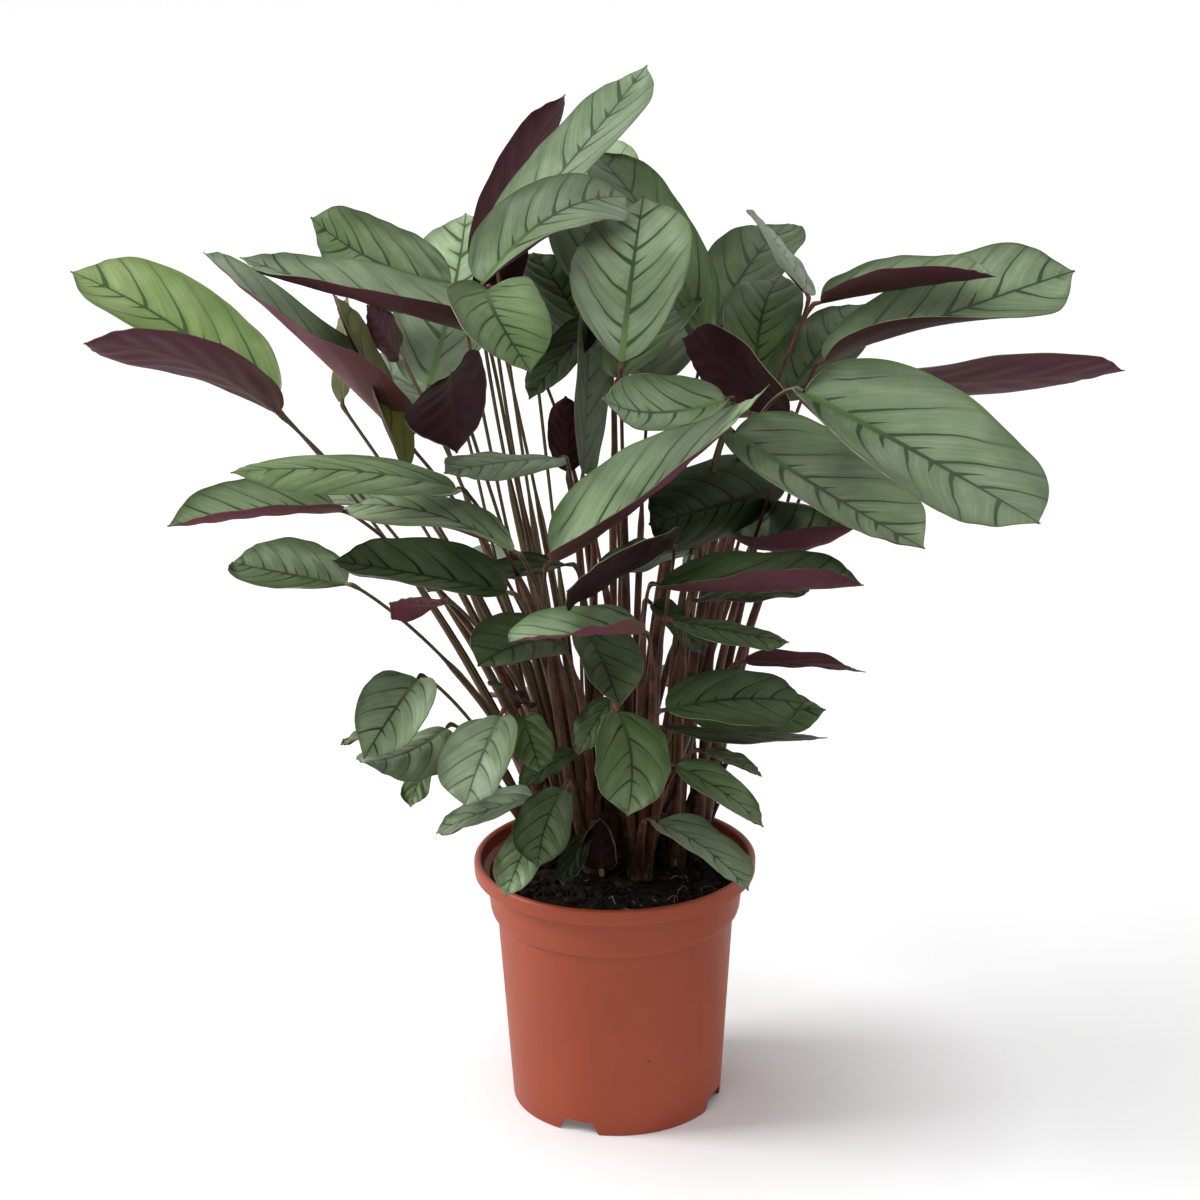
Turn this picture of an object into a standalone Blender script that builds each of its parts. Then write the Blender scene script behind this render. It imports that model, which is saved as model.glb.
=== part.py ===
"""Potted ctenanthe: patterned leaves on cane stems, rooted in soil in a plastic nursery pot.

Everything is in metres, with +Z up. The origin is the centre of the pot's foot, where the
pot stands on its bearing face. The plant is rooted in the soil and has no moving part.
"""

import math
from collections import namedtuple

import bmesh
import bpy
from mathutils import Vector
from mathutils.geometry import interpolate_bezier

# Pot: a thin injection-moulded nursery pot with a rolled lip and a stacking collar.
POT_HEIGHT = 0.1565
LIP_RADIUS = 0.085
LIP_HEIGHT = 0.0095
COLLAR_RADIUS = 0.0776
COLLAR_HEIGHT = 0.0355
BODY_RADIUS = 0.0714
FOOT_RADIUS = 0.064
WALL = 0.0018
FOOT_LIFT = 0.0065
FLOOR_TOP = FOOT_LIFT + WALL
PAD_RADIUS = 0.015
NOTCH_DEPTH = 0.012
NOTCH_WIDTH = 0.023
NOTCH_HEIGHT = 0.006
NOTCH_ANGLES = (-110.0, -20.0, 70.0, 160.0)
DRAIN_RADIUS = 0.005
DRAIN_RING = 0.043
DRAIN_COUNT = 8
TURN_STEPS = 48

# Soil: it fills the pot to a little below the lip, with this gap to what it touches.
GAP = 0.0003
SOIL_TOP = 0.140
SOIL_EDGE_DIP = 0.002
SOIL_EDGE_WIDTH = 0.006

# Shoots: each one is a bundle of sheathed leaf stalks that grow from one crown on the soil.
CROWN_RADIUS = 0.008
CROWN_TOP_RADIUS = 0.0065
CROWN_HEIGHT = 0.008
CROWN_SIDES = 16
STALK_RING = 0.0052
STALK_SEAT = 0.002
SHEATH_RADIUS = 0.0028
STALK_RADIUS = 0.0013
NECK_LENGTH = 0.028
NECK_END = 0.004
STALK_POINTS = 8

# Leaf blades: every blade is a thin shell on the same oblong outline, with an abrupt tip.
BLADE_THICKNESS = 0.0008
LEAST_HALF_WIDTH = 0.0009
TIP_START = 0.70
SMALL_BLADE = 0.125

COLLECTION_NAME = "potted_ctenanthe"
CUTTER_COLLECTION_NAME = "cutters"

# A leaf's base is where its stalk ends. Heading, rise, roll and cup are in degrees, and droop,
# sway, twist and tip_cup change them towards the tip. Cup is the turn from midrib to margin.
# The bow pushes the middle of the stalk aside.
Leaf = namedtuple(
    "Leaf",
    "base heading rise length width droop sway roll twist cup tip_cup bow",
    defaults=(0, 0, 0, 0, 0, 0, (0.0, 0.0, 0.0)),
)
Shoot = namedtuple("Shoot", "root leaves")

SHOOTS = {
    "left": Shoot(
        root=(-0.044, 0.026),
        leaves=[
            Leaf(base=(-0.112, -0.052, 0.289), heading=253, rise=-6, length=0.080, width=0.044,
                 droop=18, sway=-6, roll=-8, twist=-28, cup=50, tip_cup=50,
                 bow=(-0.004, 0.008, 0.0)),
            Leaf(base=(-0.097, -0.042, 0.255), heading=243, rise=-6, length=0.085, width=0.044,
                 droop=-22, sway=-6, roll=-10, twist=-6, cup=-30, tip_cup=-40),
            Leaf(base=(-0.063, -0.112, 0.288), heading=242, rise=-32, length=0.057, width=0.047,
                 droop=22, sway=2, roll=10, twist=-10, cup=25, tip_cup=25, bow=(-0.010, 0.020, 0.0)),
        ],
    ),
    "left_rear": Shoot(
        root=(-0.034, 0.050),
        leaves=[
            Leaf(base=(-0.195, 0.011, 0.436), heading=156, rise=39, length=0.150, width=0.060,
                 droop=24, roll=-26, cup=55, tip_cup=40, bow=(-0.020, 0.0, 0.0)),
            Leaf(base=(-0.189, -0.024, 0.440), heading=211, rise=43, length=0.130, width=0.052,
                 droop=34, sway=8, roll=18, twist=22, cup=25, tip_cup=5),
            Leaf(base=(-0.150, -0.063, 0.350), heading=143, rise=-3, length=0.092, width=0.042,
                 sway=-4, roll=-26, twist=-6, cup=45, tip_cup=55, bow=(-0.010, 0.0, 0.0)),
            Leaf(base=(-0.153, -0.050, 0.389), heading=217, rise=15, length=0.110, width=0.042,
                 droop=18, roll=-20, twist=-8, cup=75, tip_cup=100, bow=(0.010, 0.030, 0.0)),
            Leaf(base=(-0.090, 0.090, 0.400), heading=125, rise=20, length=0.150, width=0.058,
                 droop=30, cup=20, tip_cup=20, bow=(-0.014, 0.008, 0.0)),
            Leaf(base=(-0.115, 0.070, 0.350), heading=150, rise=10, length=0.110, width=0.046,
                 droop=30, cup=20, tip_cup=20),
        ],
    ),
    "left_inner": Shoot(
        root=(-0.024, 0.034),
        leaves=[
            Leaf(base=(-0.117, -0.022, 0.422), heading=204, rise=49, length=0.169, width=0.080,
                 droop=6, sway=14, roll=-6, twist=-12, cup=85, bow=(0.036, -0.006, 0.0)),
            Leaf(base=(-0.058, -0.118, 0.362), heading=167, rise=10, length=0.102, width=0.046,
                 droop=10, sway=-10, roll=-22, twist=6, cup=50, tip_cup=40),
            Leaf(base=(-0.084, -0.104, 0.417), heading=214, rise=22, length=0.139, width=0.054,
                 droop=18, roll=-14, twist=8, cup=15, tip_cup=-35, bow=(0.020, 0.0, 0.0)),
        ],
    ),
    "rear_left": Shoot(
        root=(-0.012, 0.056),
        leaves=[
            Leaf(base=(-0.092, 0.037, 0.499), heading=139, rise=0, length=0.132, width=0.050,
                 droop=-20, sway=-12, roll=-70, twist=-14, cup=5, bow=(-0.035, -0.010, 0.0)),
            Leaf(base=(-0.107, 0.060, 0.434), heading=77, rise=33, length=0.166, width=0.070,
                 droop=12, sway=12, roll=-8, twist=-2, cup=10, tip_cup=10, bow=(-0.024, 0.0, 0.0)),
            Leaf(base=(-0.074, 0.097, 0.496), heading=66, rise=51, length=0.138, width=0.048,
                 droop=20, sway=-8, roll=158, cup=-10, tip_cup=-30, bow=(0.040, 0.020, 0.110)),
            Leaf(base=(-0.062, 0.032, 0.526), heading=56, rise=24, length=0.170, width=0.070,
                 droop=-10, sway=-4, roll=-22, twist=16, cup=15, tip_cup=15,
                 bow=(-0.020, 0.002, 0.0)),
            Leaf(base=(-0.010, 0.115, 0.480), heading=88, rise=45, length=0.150, width=0.060,
                 droop=30, cup=20, tip_cup=20),
            Leaf(base=(-0.045, 0.115, 0.430), heading=100, rise=30, length=0.155, width=0.060,
                 droop=30, cup=20, tip_cup=20, bow=(-0.010, 0.0, 0.0)),
        ],
    ),
    "middle": Shoot(
        root=(0.000, 0.038),
        leaves=[
            Leaf(base=(-0.072, -0.076, 0.496), heading=177, rise=16, length=0.138, width=0.064,
                 sway=-16, roll=2, twist=-4, cup=85, tip_cup=10, bow=(-0.040, 0.0, 0.0)),
            Leaf(base=(-0.069, -0.047, 0.518), heading=50, rise=38, length=0.132, width=0.056,
                 droop=50, roll=-8, twist=44, cup=50, bow=(-0.045, 0.040, 0.0)),
            Leaf(base=(-0.066, -0.062, 0.518), heading=268, rise=0, length=0.084, width=0.052,
                 droop=44, sway=44, roll=6, twist=-4, cup=45, tip_cup=20, bow=(-0.045, 0.045, 0.0)),
            Leaf(base=(-0.085, -0.101, 0.479), heading=271, rise=3, length=0.087, width=0.052,
                 droop=34, sway=6, roll=-136, twist=-28, cup=-25, tip_cup=-45,
                 bow=(-0.035, -0.010, 0.0)),
            Leaf(base=(-0.016, -0.022, 0.402), heading=85, rise=48, length=0.145, width=0.048,
                 droop=32, sway=6, roll=72, twist=-10, cup=10, tip_cup=25, bow=(0.020, 0.0, 0.0)),
        ],
    ),
    "rear": Shoot(
        root=(0.010, 0.058),
        leaves=[
            Leaf(base=(0.006, -0.072, 0.478), heading=85, rise=25, length=0.159, width=0.070,
                 droop=2, sway=-2, roll=4, twist=-16, cup=70, tip_cup=-10),
            Leaf(base=(0.057, 0.055, 0.464), heading=126, rise=56, length=0.164, width=0.060,
                 droop=44, sway=-12, roll=20, twist=-16, cup=10, tip_cup=25,
                 bow=(-0.002, -0.002, 0.0)),
            Leaf(base=(0.025, 0.115, 0.420), heading=80, rise=25, length=0.150, width=0.060,
                 droop=30, cup=20, tip_cup=20),
        ],
    ),
    "front_left": Shoot(
        root=(-0.014, 0.014),
        leaves=[
            Leaf(base=(-0.032, -0.113, 0.378), heading=352, rise=35, length=0.155, width=0.080,
                 droop=-12, sway=-4, roll=22, twist=-26, cup=85, tip_cup=-15,
                 bow=(-0.020, -0.012, 0.0)),
            Leaf(base=(-0.029, -0.104, 0.241), heading=230, rise=-36, length=0.049, width=0.036,
                 droop=14, sway=34, roll=8, twist=-10, cup=25, tip_cup=30,
                 bow=(-0.014, -0.006, 0.0)),
            Leaf(base=(-0.053, -0.136, 0.391), heading=172, rise=34, length=0.103, width=0.042,
                 droop=50, sway=-22, twist=-12, cup=35, tip_cup=-25),
        ],
    ),
    "front": Shoot(
        root=(0.015, 0.002),
        leaves=[
            Leaf(base=(0.025, -0.117, 0.365), heading=332, rise=3, length=0.122, width=0.052,
                 droop=-10, sway=-2, roll=12, twist=-18, cup=45, tip_cup=100, bow=(0.0, 0.020, 0.0)),
            Leaf(base=(0.024, -0.087, 0.213), heading=315, rise=1, length=0.075, width=0.038,
                 droop=34, sway=-2, roll=-6, twist=-4, cup=25, tip_cup=30),
            Leaf(base=(0.002, -0.172, 0.312), heading=300, rise=-36, length=0.060, width=0.041,
                 droop=22, sway=-52, roll=-10, twist=10, cup=20, tip_cup=30, bow=(-0.010, 0.0, 0.0)),
            Leaf(base=(0.029, -0.126, 0.296), heading=21, rise=6, length=0.086, width=0.040,
                 droop=26, sway=6, roll=20, twist=26, cup=20, bow=(0.020, 0.0, 0.0)),
            Leaf(base=(0.033, -0.128, 0.348), heading=332, rise=-2, length=0.068, width=0.028,
                 roll=4, tip_cup=-20, bow=(0.010, 0.0, 0.0)),
            Leaf(base=(0.014, -0.145, 0.347), heading=220, rise=14, length=0.096, width=0.042,
                 droop=6, sway=8, roll=-12, twist=20, cup=105, tip_cup=10, bow=(0.010, 0.0, 0.0)),
            Leaf(base=(0.031, -0.114, 0.385), heading=237, rise=7, length=0.107, width=0.054,
                 droop=8, sway=4, roll=40, twist=12, tip_cup=-10, bow=(0.0, 0.002, 0.0)),
        ],
    ),
    "right_front": Shoot(
        root=(0.036, 0.022),
        leaves=[
            Leaf(base=(0.100, -0.151, 0.480), heading=311, rise=-11, length=0.172, width=0.086,
                 sway=-6, roll=16, twist=-14, cup=90, tip_cup=-20, bow=(0.010, 0.080, 0.110)),
            Leaf(base=(0.067, -0.087, 0.442), heading=305, rise=-13, length=0.152, width=0.066,
                 droop=-2, sway=6, roll=16, twist=-10, cup=70, tip_cup=30, bow=(-0.010, 0.020, 0.0)),
            Leaf(base=(0.062, -0.095, 0.462), heading=209, rise=-8, length=0.100, width=0.042,
                 droop=-38, sway=34, roll=-20, twist=-48, cup=70, tip_cup=50,
                 bow=(-0.020, 0.024, 0.030)),
        ],
    ),
    "right": Shoot(
        root=(0.050, 0.036),
        leaves=[
            Leaf(base=(0.122, -0.015, 0.464), heading=10, rise=19, length=0.162, width=0.070,
                 droop=10, sway=18, roll=-20, twist=72, cup=68, tip_cup=25),
            Leaf(base=(0.143, -0.061, 0.461), heading=16, rise=-4, length=0.157, width=0.056,
                 droop=-4, sway=4, roll=-40, twist=4, cup=5, tip_cup=15),
            Leaf(base=(0.098, -0.083, 0.452), heading=126, rise=18, length=0.101, width=0.040,
                 droop=10, sway=-2, roll=60, twist=42, cup=5, tip_cup=10, bow=(-0.008, -0.002, 0.0)),
        ],
    ),
    "right_rear": Shoot(
        root=(0.031, 0.050),
        leaves=[
            Leaf(base=(0.087, 0.053, 0.430), heading=89, rise=40, length=0.119, width=0.048,
                 droop=32, sway=-20, roll=32, twist=-36, cup=40, tip_cup=-10,
                 bow=(-0.020, 0.0, 0.0)),
            Leaf(base=(0.121, 0.006, 0.493), heading=350, rise=13, length=0.100, width=0.052,
                 droop=6, cup=95, tip_cup=60, bow=(-0.008, -0.012, 0.0)),
            Leaf(base=(0.101, 0.012, 0.434), heading=61, rise=25, length=0.128, width=0.052,
                 droop=20, sway=2, roll=2, twist=-4, cup=10, tip_cup=5, bow=(0.010, 0.0, 0.0)),
            Leaf(base=(0.075, 0.105, 0.400), heading=55, rise=15, length=0.145, width=0.058,
                 droop=30, cup=20, tip_cup=20),
            Leaf(base=(0.105, 0.085, 0.360), heading=35, rise=10, length=0.120, width=0.050,
                 droop=30, cup=20, tip_cup=20),
        ],
    ),
}


def new_collection(name):
    """Add an empty collection to the scene."""
    collection = bpy.data.collections.new(name)
    bpy.context.scene.collection.children.link(collection)
    return collection


def new_material(name, color, roughness):
    """Make a plain non-metal Principled material."""
    material = bpy.data.materials.new(name)
    material.use_nodes = True
    shader = material.node_tree.nodes["Principled BSDF"]
    shader.inputs["Base Color"].default_value = (*color, 1.0)
    shader.inputs["Roughness"].default_value = roughness
    shader.inputs["Metallic"].default_value = 0.0
    return material


def link_mesh(name, mesh, collection, material=None):
    """Put a mesh into a collection as a named object."""
    piece = bpy.data.objects.new(name, mesh)
    collection.objects.link(piece)
    if material is not None:
        mesh.materials.append(material)
    return piece


def finish_shape(name, shape):
    """Turn a bmesh into a smooth mesh and free it."""
    mesh = bpy.data.meshes.new(name)
    shape.to_mesh(mesh)
    shape.free()
    mesh.shade_smooth()
    return mesh


def mark_cutter(piece):
    """Mark an object that only shapes another one."""
    piece.hide_render = True
    piece.display_type = "WIRE"


def add_boolean(piece, name, operation, other):
    """Cut a piece with another object, or join the two."""
    modifier = piece.modifiers.new(name, "BOOLEAN")
    modifier.operation = operation
    modifier.solver = "EXACT"
    modifier.object = other


def ring_point(radius, degrees, height=0.0):
    """Return the point at a radius and an angle round the pot's axis."""
    angle = math.radians(degrees)
    return Vector((radius * math.cos(angle), radius * math.sin(angle), height))


# Pot -----------------------------------------------------------------------------------


def pot_outer_side():
    """Return the pot's outer side as (radius, height), from the lip down to the foot."""
    lip_base = POT_HEIGHT - LIP_HEIGHT
    collar_base = POT_HEIGHT - COLLAR_HEIGHT
    return [
        (LIP_RADIUS - 0.0030, POT_HEIGHT),
        (LIP_RADIUS - 0.0008, POT_HEIGHT - 0.0012),
        (LIP_RADIUS, POT_HEIGHT - 0.0040),
        (LIP_RADIUS - 0.0004, lip_base + 0.0012),
        (LIP_RADIUS - 0.0016, lip_base),
        (COLLAR_RADIUS + 0.0004, lip_base - 0.0003),
        (COLLAR_RADIUS, lip_base - 0.0015),
        (BODY_RADIUS + 0.0042, collar_base + 0.0060),
        (BODY_RADIUS + 0.0030, collar_base + 0.0016),
        (BODY_RADIUS + 0.0008, collar_base - 0.0002),
        (BODY_RADIUS, collar_base - 0.0016),
        (FOOT_RADIUS, 0.0),
    ]


def pot_inner_side():
    """Return the pot's inner side as (radius, height), from the floor up to the lip."""
    lip_base = POT_HEIGHT - LIP_HEIGHT
    collar_base = POT_HEIGHT - COLLAR_HEIGHT
    return [
        (FOOT_RADIUS - WALL - 0.0012, FLOOR_TOP),
        (FOOT_RADIUS - WALL + 0.0006, FLOOR_TOP + 0.0020),
        (BODY_RADIUS - WALL, collar_base - 0.0030),
        (BODY_RADIUS - WALL + 0.0004, collar_base + 0.0008),
        (BODY_RADIUS - WALL + 0.0020, collar_base + 0.0040),
        (COLLAR_RADIUS - WALL, lip_base - 0.0005),
        (COLLAR_RADIUS + 0.0020, lip_base + 0.0020),
        (LIP_RADIUS - 0.0048, POT_HEIGHT - 0.0040),
        (LIP_RADIUS - 0.0042, POT_HEIGHT - 0.0012),
    ]


def turned_piece(name, profile, collection, material):
    """Turn a (radius, height) profile, which runs down its outer side, into a solid."""
    shape = bmesh.new()
    points = [shape.verts.new((radius, 0.0, height)) for radius, height in profile]
    for first, second in zip(points, points[1:]):
        shape.edges.new((first, second))
    piece = link_mesh(name, finish_shape(name, shape), collection, material)
    screw = piece.modifiers.new("turn", "SCREW")
    screw.steps = TURN_STEPS
    screw.render_steps = TURN_STEPS
    screw.use_merge_vertices = True
    screw.merge_threshold = 0.00001
    screw.use_smooth_shade = True
    return piece


def add_drain_cutter(index, cutters):
    """A short rod on the ring of drain holes in the pot's floor."""
    shape = bmesh.new()
    bmesh.ops.create_cone(
        shape, cap_ends=True, segments=12, radius1=DRAIN_RADIUS, radius2=DRAIN_RADIUS, depth=6 * WALL)
    rod = link_mesh(f"drain_cutter_{index}", finish_shape("drain_cutter", shape), cutters)
    rod.location = ring_point(DRAIN_RING, 360.0 * (index + 0.5) / DRAIN_COUNT, FLOOR_TOP)
    mark_cutter(rod)
    return rod


def add_notch_cutter(degrees, cutters):
    """A block across the pot's foot, for a notch that lets water out."""
    shape = bmesh.new()
    block = bmesh.ops.create_cube(shape, size=1.0)["verts"]
    bmesh.ops.scale(shape, verts=block, vec=(NOTCH_DEPTH, NOTCH_WIDTH, 2 * NOTCH_HEIGHT))
    notch = link_mesh("notch_cutter", finish_shape("notch_cutter", shape), cutters)
    notch.location = ring_point(FOOT_RADIUS, degrees)
    notch.rotation_euler = (0.0, 0.0, math.radians(degrees))
    mark_cutter(notch)
    return notch


def add_pot(collection, cutters, material):
    """The pot: a turned shell with drain holes in its floor and notches in its foot."""
    underside = [
        (FOOT_RADIUS - WALL, 0.0),
        (FOOT_RADIUS - WALL - 0.0004, FOOT_LIFT),
        (PAD_RADIUS + 0.002, FOOT_LIFT),
        (PAD_RADIUS, 0.0),
        (0.0, 0.0),
    ]
    profile = [(0.0, FLOOR_TOP)] + pot_inner_side() + pot_outer_side() + underside
    pot = turned_piece("pot", profile, collection, material)
    for index in range(DRAIN_COUNT):
        add_boolean(pot, f"drain_{index}", "DIFFERENCE", add_drain_cutter(index, cutters))
    for degrees in NOTCH_ANGLES:
        add_boolean(pot, "notch", "DIFFERENCE", add_notch_cutter(degrees, cutters))


# Soil ----------------------------------------------------------------------------------


def inner_radius(height):
    """Return the pot's inner radius at a height."""
    side = pot_inner_side()
    for (low_radius, low), (high_radius, high) in zip(side, side[1:]):
        if low <= height <= high:
            return low_radius + (high_radius - low_radius) * (height - low) / (high - low)
    return side[0][0]


def add_soil(collection, material):
    """The soil: it fills the pot, flat on top, and dips where it meets the wall."""
    edge = SOIL_TOP - SOIL_EDGE_DIP
    profile = [
        (0.0, SOIL_TOP),
        (inner_radius(SOIL_TOP) - SOIL_EDGE_WIDTH, SOIL_TOP),
        (inner_radius(edge) - GAP, edge),
    ]
    for radius, height in reversed(pot_inner_side()):
        if height < edge:
            profile.append((radius - GAP, height + GAP / 2))
    profile.append((0.0, FLOOR_TOP + GAP))
    turned_piece("soil", profile, collection, material)


# Shoots --------------------------------------------------------------------------------


def leaf_direction(leaf):
    """Return the direction in which a blade leaves its stalk."""
    level = math.cos(math.radians(leaf.rise))
    across = ring_point(level, leaf.heading)
    return across + Vector((0.0, 0.0, math.sin(math.radians(leaf.rise))))


def stalk_start(leaf, root):
    """Return where a stalk starts: on its crown, on the side that faces its leaf."""
    across = Vector((leaf.base[0] - root.x, leaf.base[1] - root.y, 0.0))
    return root + across.normalized() * STALK_RING + Vector((0.0, 0.0, STALK_SEAT))


def stalk_path(leaf, root):
    """Return points along a stalk, on a Bezier curve from its crown to its blade."""
    start = stalk_start(leaf, root)
    direction = leaf_direction(leaf)
    base = Vector(leaf.base)
    reach = (base - start).length
    neck = base - direction * min(NECK_LENGTH, 0.25 * reach)
    lean = (neck - start).normalized() * 0.3 + Vector((0.0, 0.0, 0.7))
    middle = start + lean.normalized() * 0.45 * reach + Vector(leaf.bow)
    end = base - direction * NECK_END
    path = interpolate_bezier(start, middle, neck, end, STALK_POINTS)
    return path + [base - direction * GAP]


def add_stalk(name, leaf, root, collection):
    """A tapering tube along a leaf's stalk, as a closed mesh."""
    path = stalk_path(leaf, root)
    curve = bpy.data.curves.new(name, "CURVE")
    curve.dimensions = "3D"
    curve.bevel_depth = SHEATH_RADIUS
    curve.bevel_resolution = 1
    curve.use_fill_caps = True
    spline = curve.splines.new("POLY")
    spline.points.add(len(path) - 1)
    for index, point in enumerate(path):
        along = index / (len(path) - 1)
        spline.points[index].co = (*point, 1.0)
        spline.points[index].radius = 1.0 + (STALK_RADIUS / SHEATH_RADIUS - 1.0) * along ** 0.8
    guide = bpy.data.objects.new(name, curve)
    collection.objects.link(guide)
    graph = bpy.context.evaluated_depsgraph_get()
    mesh = bpy.data.meshes.new_from_object(guide.evaluated_get(graph))
    shape = bmesh.new()
    shape.from_mesh(mesh)
    bmesh.ops.remove_doubles(shape, verts=shape.verts, dist=0.00001)
    shape.to_mesh(mesh)
    shape.free()
    stalk = link_mesh(name, mesh, collection)
    stalk.matrix_world = guide.matrix_world
    bpy.data.objects.remove(guide)
    mark_cutter(stalk)
    return stalk


def add_shoot(name, shoot, collection, cutters, material):
    """A shoot: its crown on the soil, joined with the stalks of its leaves."""
    root = Vector((*shoot.root, SOIL_TOP + GAP))
    shape = bmesh.new()
    bmesh.ops.create_cone(
        shape, cap_ends=True, segments=CROWN_SIDES,
        radius1=CROWN_RADIUS, radius2=CROWN_TOP_RADIUS, depth=CROWN_HEIGHT)
    bmesh.ops.translate(shape, verts=shape.verts, vec=(0.0, 0.0, CROWN_HEIGHT / 2))
    crown = link_mesh(f"shoot_{name}", finish_shape(f"shoot_{name}", shape), collection, material)
    crown.location = root
    for number, leaf in enumerate(shoot.leaves, 1):
        stalk = add_stalk(f"stalk_{name}_{number}", leaf, root, cutters)
        add_boolean(crown, f"stalk_{number}", "UNION", stalk)


# Leaves --------------------------------------------------------------------------------


def outline_width(along):
    """Return a blade's width at a place along it, as a part of its full width."""
    oval = abs(2.0 * along ** 0.93 - 1.0)
    width = math.sqrt(max(0.0, 1.0 - oval ** 2.4))
    if along > TIP_START:
        width *= 1.0 - ((along - TIP_START) / (1.0 - TIP_START)) ** 4
    return width


def midrib_direction(leaf, along):
    """Return the direction of the midrib at a place along a blade that heads along X."""
    rise = math.radians(leaf.rise - leaf.droop * along)
    turn = math.radians(leaf.sway * along)
    return Vector((math.cos(rise) * math.cos(turn), math.cos(rise) * math.sin(turn), math.sin(rise)))


def blade_frames(leaf, stations):
    """Return the midrib point, side and upward directions at each station of a blade."""
    point = Vector((0.0, 0.0, 0.0))
    frames = []
    previous = stations[0]
    for along in stations:
        middle = (along + previous) / 2
        point = point + midrib_direction(leaf, middle) * leaf.length * (along - previous)
        previous = along
        direction = midrib_direction(leaf, along)
        turn = math.radians(leaf.sway * along)
        level_side = Vector((-math.sin(turn), math.cos(turn), 0.0))
        level_up = direction.cross(level_side)
        roll = math.radians(leaf.roll + leaf.twist * along)
        side = level_side * math.cos(roll) + level_up * math.sin(roll)
        up = level_up * math.cos(roll) - level_side * math.sin(roll)
        frames.append((point, side, up))
    return frames


def add_leaf(name, leaf, collection, material):
    """A blade: a grid that is bent and cupped along its midrib, then given its thickness."""
    long_steps = 6 if leaf.length < SMALL_BLADE else 7
    wide_steps = 2 if leaf.length < SMALL_BLADE else 4
    shape = bmesh.new()
    grid = bmesh.ops.create_grid(shape, x_segments=long_steps, y_segments=wide_steps, size=1.0)["verts"]
    stations = [0.5 - 0.5 * math.cos(math.pi * step / long_steps) for step in range(long_steps + 1)]
    frames = blade_frames(leaf, stations)
    for vertex in grid:
        step = round((vertex.co.x + 1.0) / 2.0 * long_steps)
        across = vertex.co.y
        along = stations[step]
        point, side, up = frames[step]
        half_width = max(LEAST_HALF_WIDTH, leaf.width / 2 * outline_width(along))
        cup = math.radians(leaf.cup + (leaf.tip_cup - leaf.cup) * along)
        if abs(cup) < 0.01:
            cup = 0.01
        sideways = half_width * math.sin(cup * across) / cup
        upwards = half_width * (1.0 - math.cos(cup * across)) / cup
        vertex.co = point + side * sideways + up * upwards
    blade = link_mesh(name, finish_shape(name, shape), collection, material)
    blade.location = leaf.base
    blade.rotation_euler = (0.0, 0.0, math.radians(leaf.heading))
    solidify = blade.modifiers.new("thickness", "SOLIDIFY")
    solidify.thickness = BLADE_THICKNESS
    solidify.offset = 0.0


# Object --------------------------------------------------------------------------------


for leftover in list(bpy.data.objects):
    bpy.data.objects.remove(leftover)

parts = new_collection(COLLECTION_NAME)
cutters = new_collection(CUTTER_COLLECTION_NAME)
pot_plastic = new_material("pot_plastic", (0.38, 0.092, 0.045), 0.5)
soil_mix = new_material("soil_mix", (0.020, 0.015, 0.012), 0.95)
stalk_green = new_material("stalk", (0.20, 0.12, 0.06), 0.55)
blade_green = new_material("blade", (0.16, 0.24, 0.13), 0.45)

add_pot(parts, cutters, pot_plastic)
add_soil(parts, soil_mix)
for shoot_name, shoot in SHOOTS.items():
    add_shoot(shoot_name, shoot, parts, cutters, stalk_green)
    for number, leaf in enumerate(shoot.leaves, 1):
        add_leaf(f"leaf_{shoot_name}_{number}", leaf, parts, blade_green)
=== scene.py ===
import math
import random
from collections import namedtuple

import bpy
from mathutils import Matrix, Vector, noise
from mathutils.geometry import interpolate_bezier


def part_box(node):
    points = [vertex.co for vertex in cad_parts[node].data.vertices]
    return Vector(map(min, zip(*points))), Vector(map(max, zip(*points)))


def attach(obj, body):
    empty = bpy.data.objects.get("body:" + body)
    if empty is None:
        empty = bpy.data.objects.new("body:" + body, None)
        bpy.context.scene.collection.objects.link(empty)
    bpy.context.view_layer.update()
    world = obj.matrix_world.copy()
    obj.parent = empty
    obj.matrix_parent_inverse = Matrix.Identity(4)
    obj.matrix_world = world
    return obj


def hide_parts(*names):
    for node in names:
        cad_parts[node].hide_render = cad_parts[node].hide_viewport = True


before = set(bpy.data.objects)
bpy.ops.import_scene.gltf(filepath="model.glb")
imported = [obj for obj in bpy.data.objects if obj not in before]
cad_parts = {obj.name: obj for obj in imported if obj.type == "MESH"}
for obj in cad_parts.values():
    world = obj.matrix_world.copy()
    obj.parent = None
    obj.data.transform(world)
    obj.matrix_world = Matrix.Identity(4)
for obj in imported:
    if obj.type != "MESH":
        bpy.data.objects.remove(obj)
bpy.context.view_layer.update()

bpy.ops.object.select_all(action="DESELECT")


# Camera ------------------------------------------------------------------------------------
# The plant is seen from a little above its leaves, looking down into the pot, from far enough
# away that the pot's sides stay nearly parallel.

EYE = (-0.0071, -1.600, 0.844)
EYE_TILT = 71.8
EYE_TURN = -0.67

camera_data = bpy.data.cameras.new("camera")
camera_data.sensor_width = 36.0
camera_data.lens = 86.1
camera = bpy.data.objects.new("camera", camera_data)
bpy.context.scene.collection.objects.link(camera)
camera.matrix_world = (
    Matrix.Translation(EYE)
    @ Matrix.Rotation(math.radians(EYE_TILT), 4, "X")
    @ Matrix.Rotation(math.radians(EYE_TURN), 4, "Z"))
bpy.context.scene.camera = camera
bpy.context.scene.view_settings.view_transform = "Standard"


# Studio ------------------------------------------------------------------------------------
# A white floor under a soft lamp at the upper left, with a wider, weaker one in front and a
# faint one at the right. The floor shows white where no shadow falls on it, and its glow fades
# round the pot's foot, a painted shade that lies deepest just right of the pot.

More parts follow.
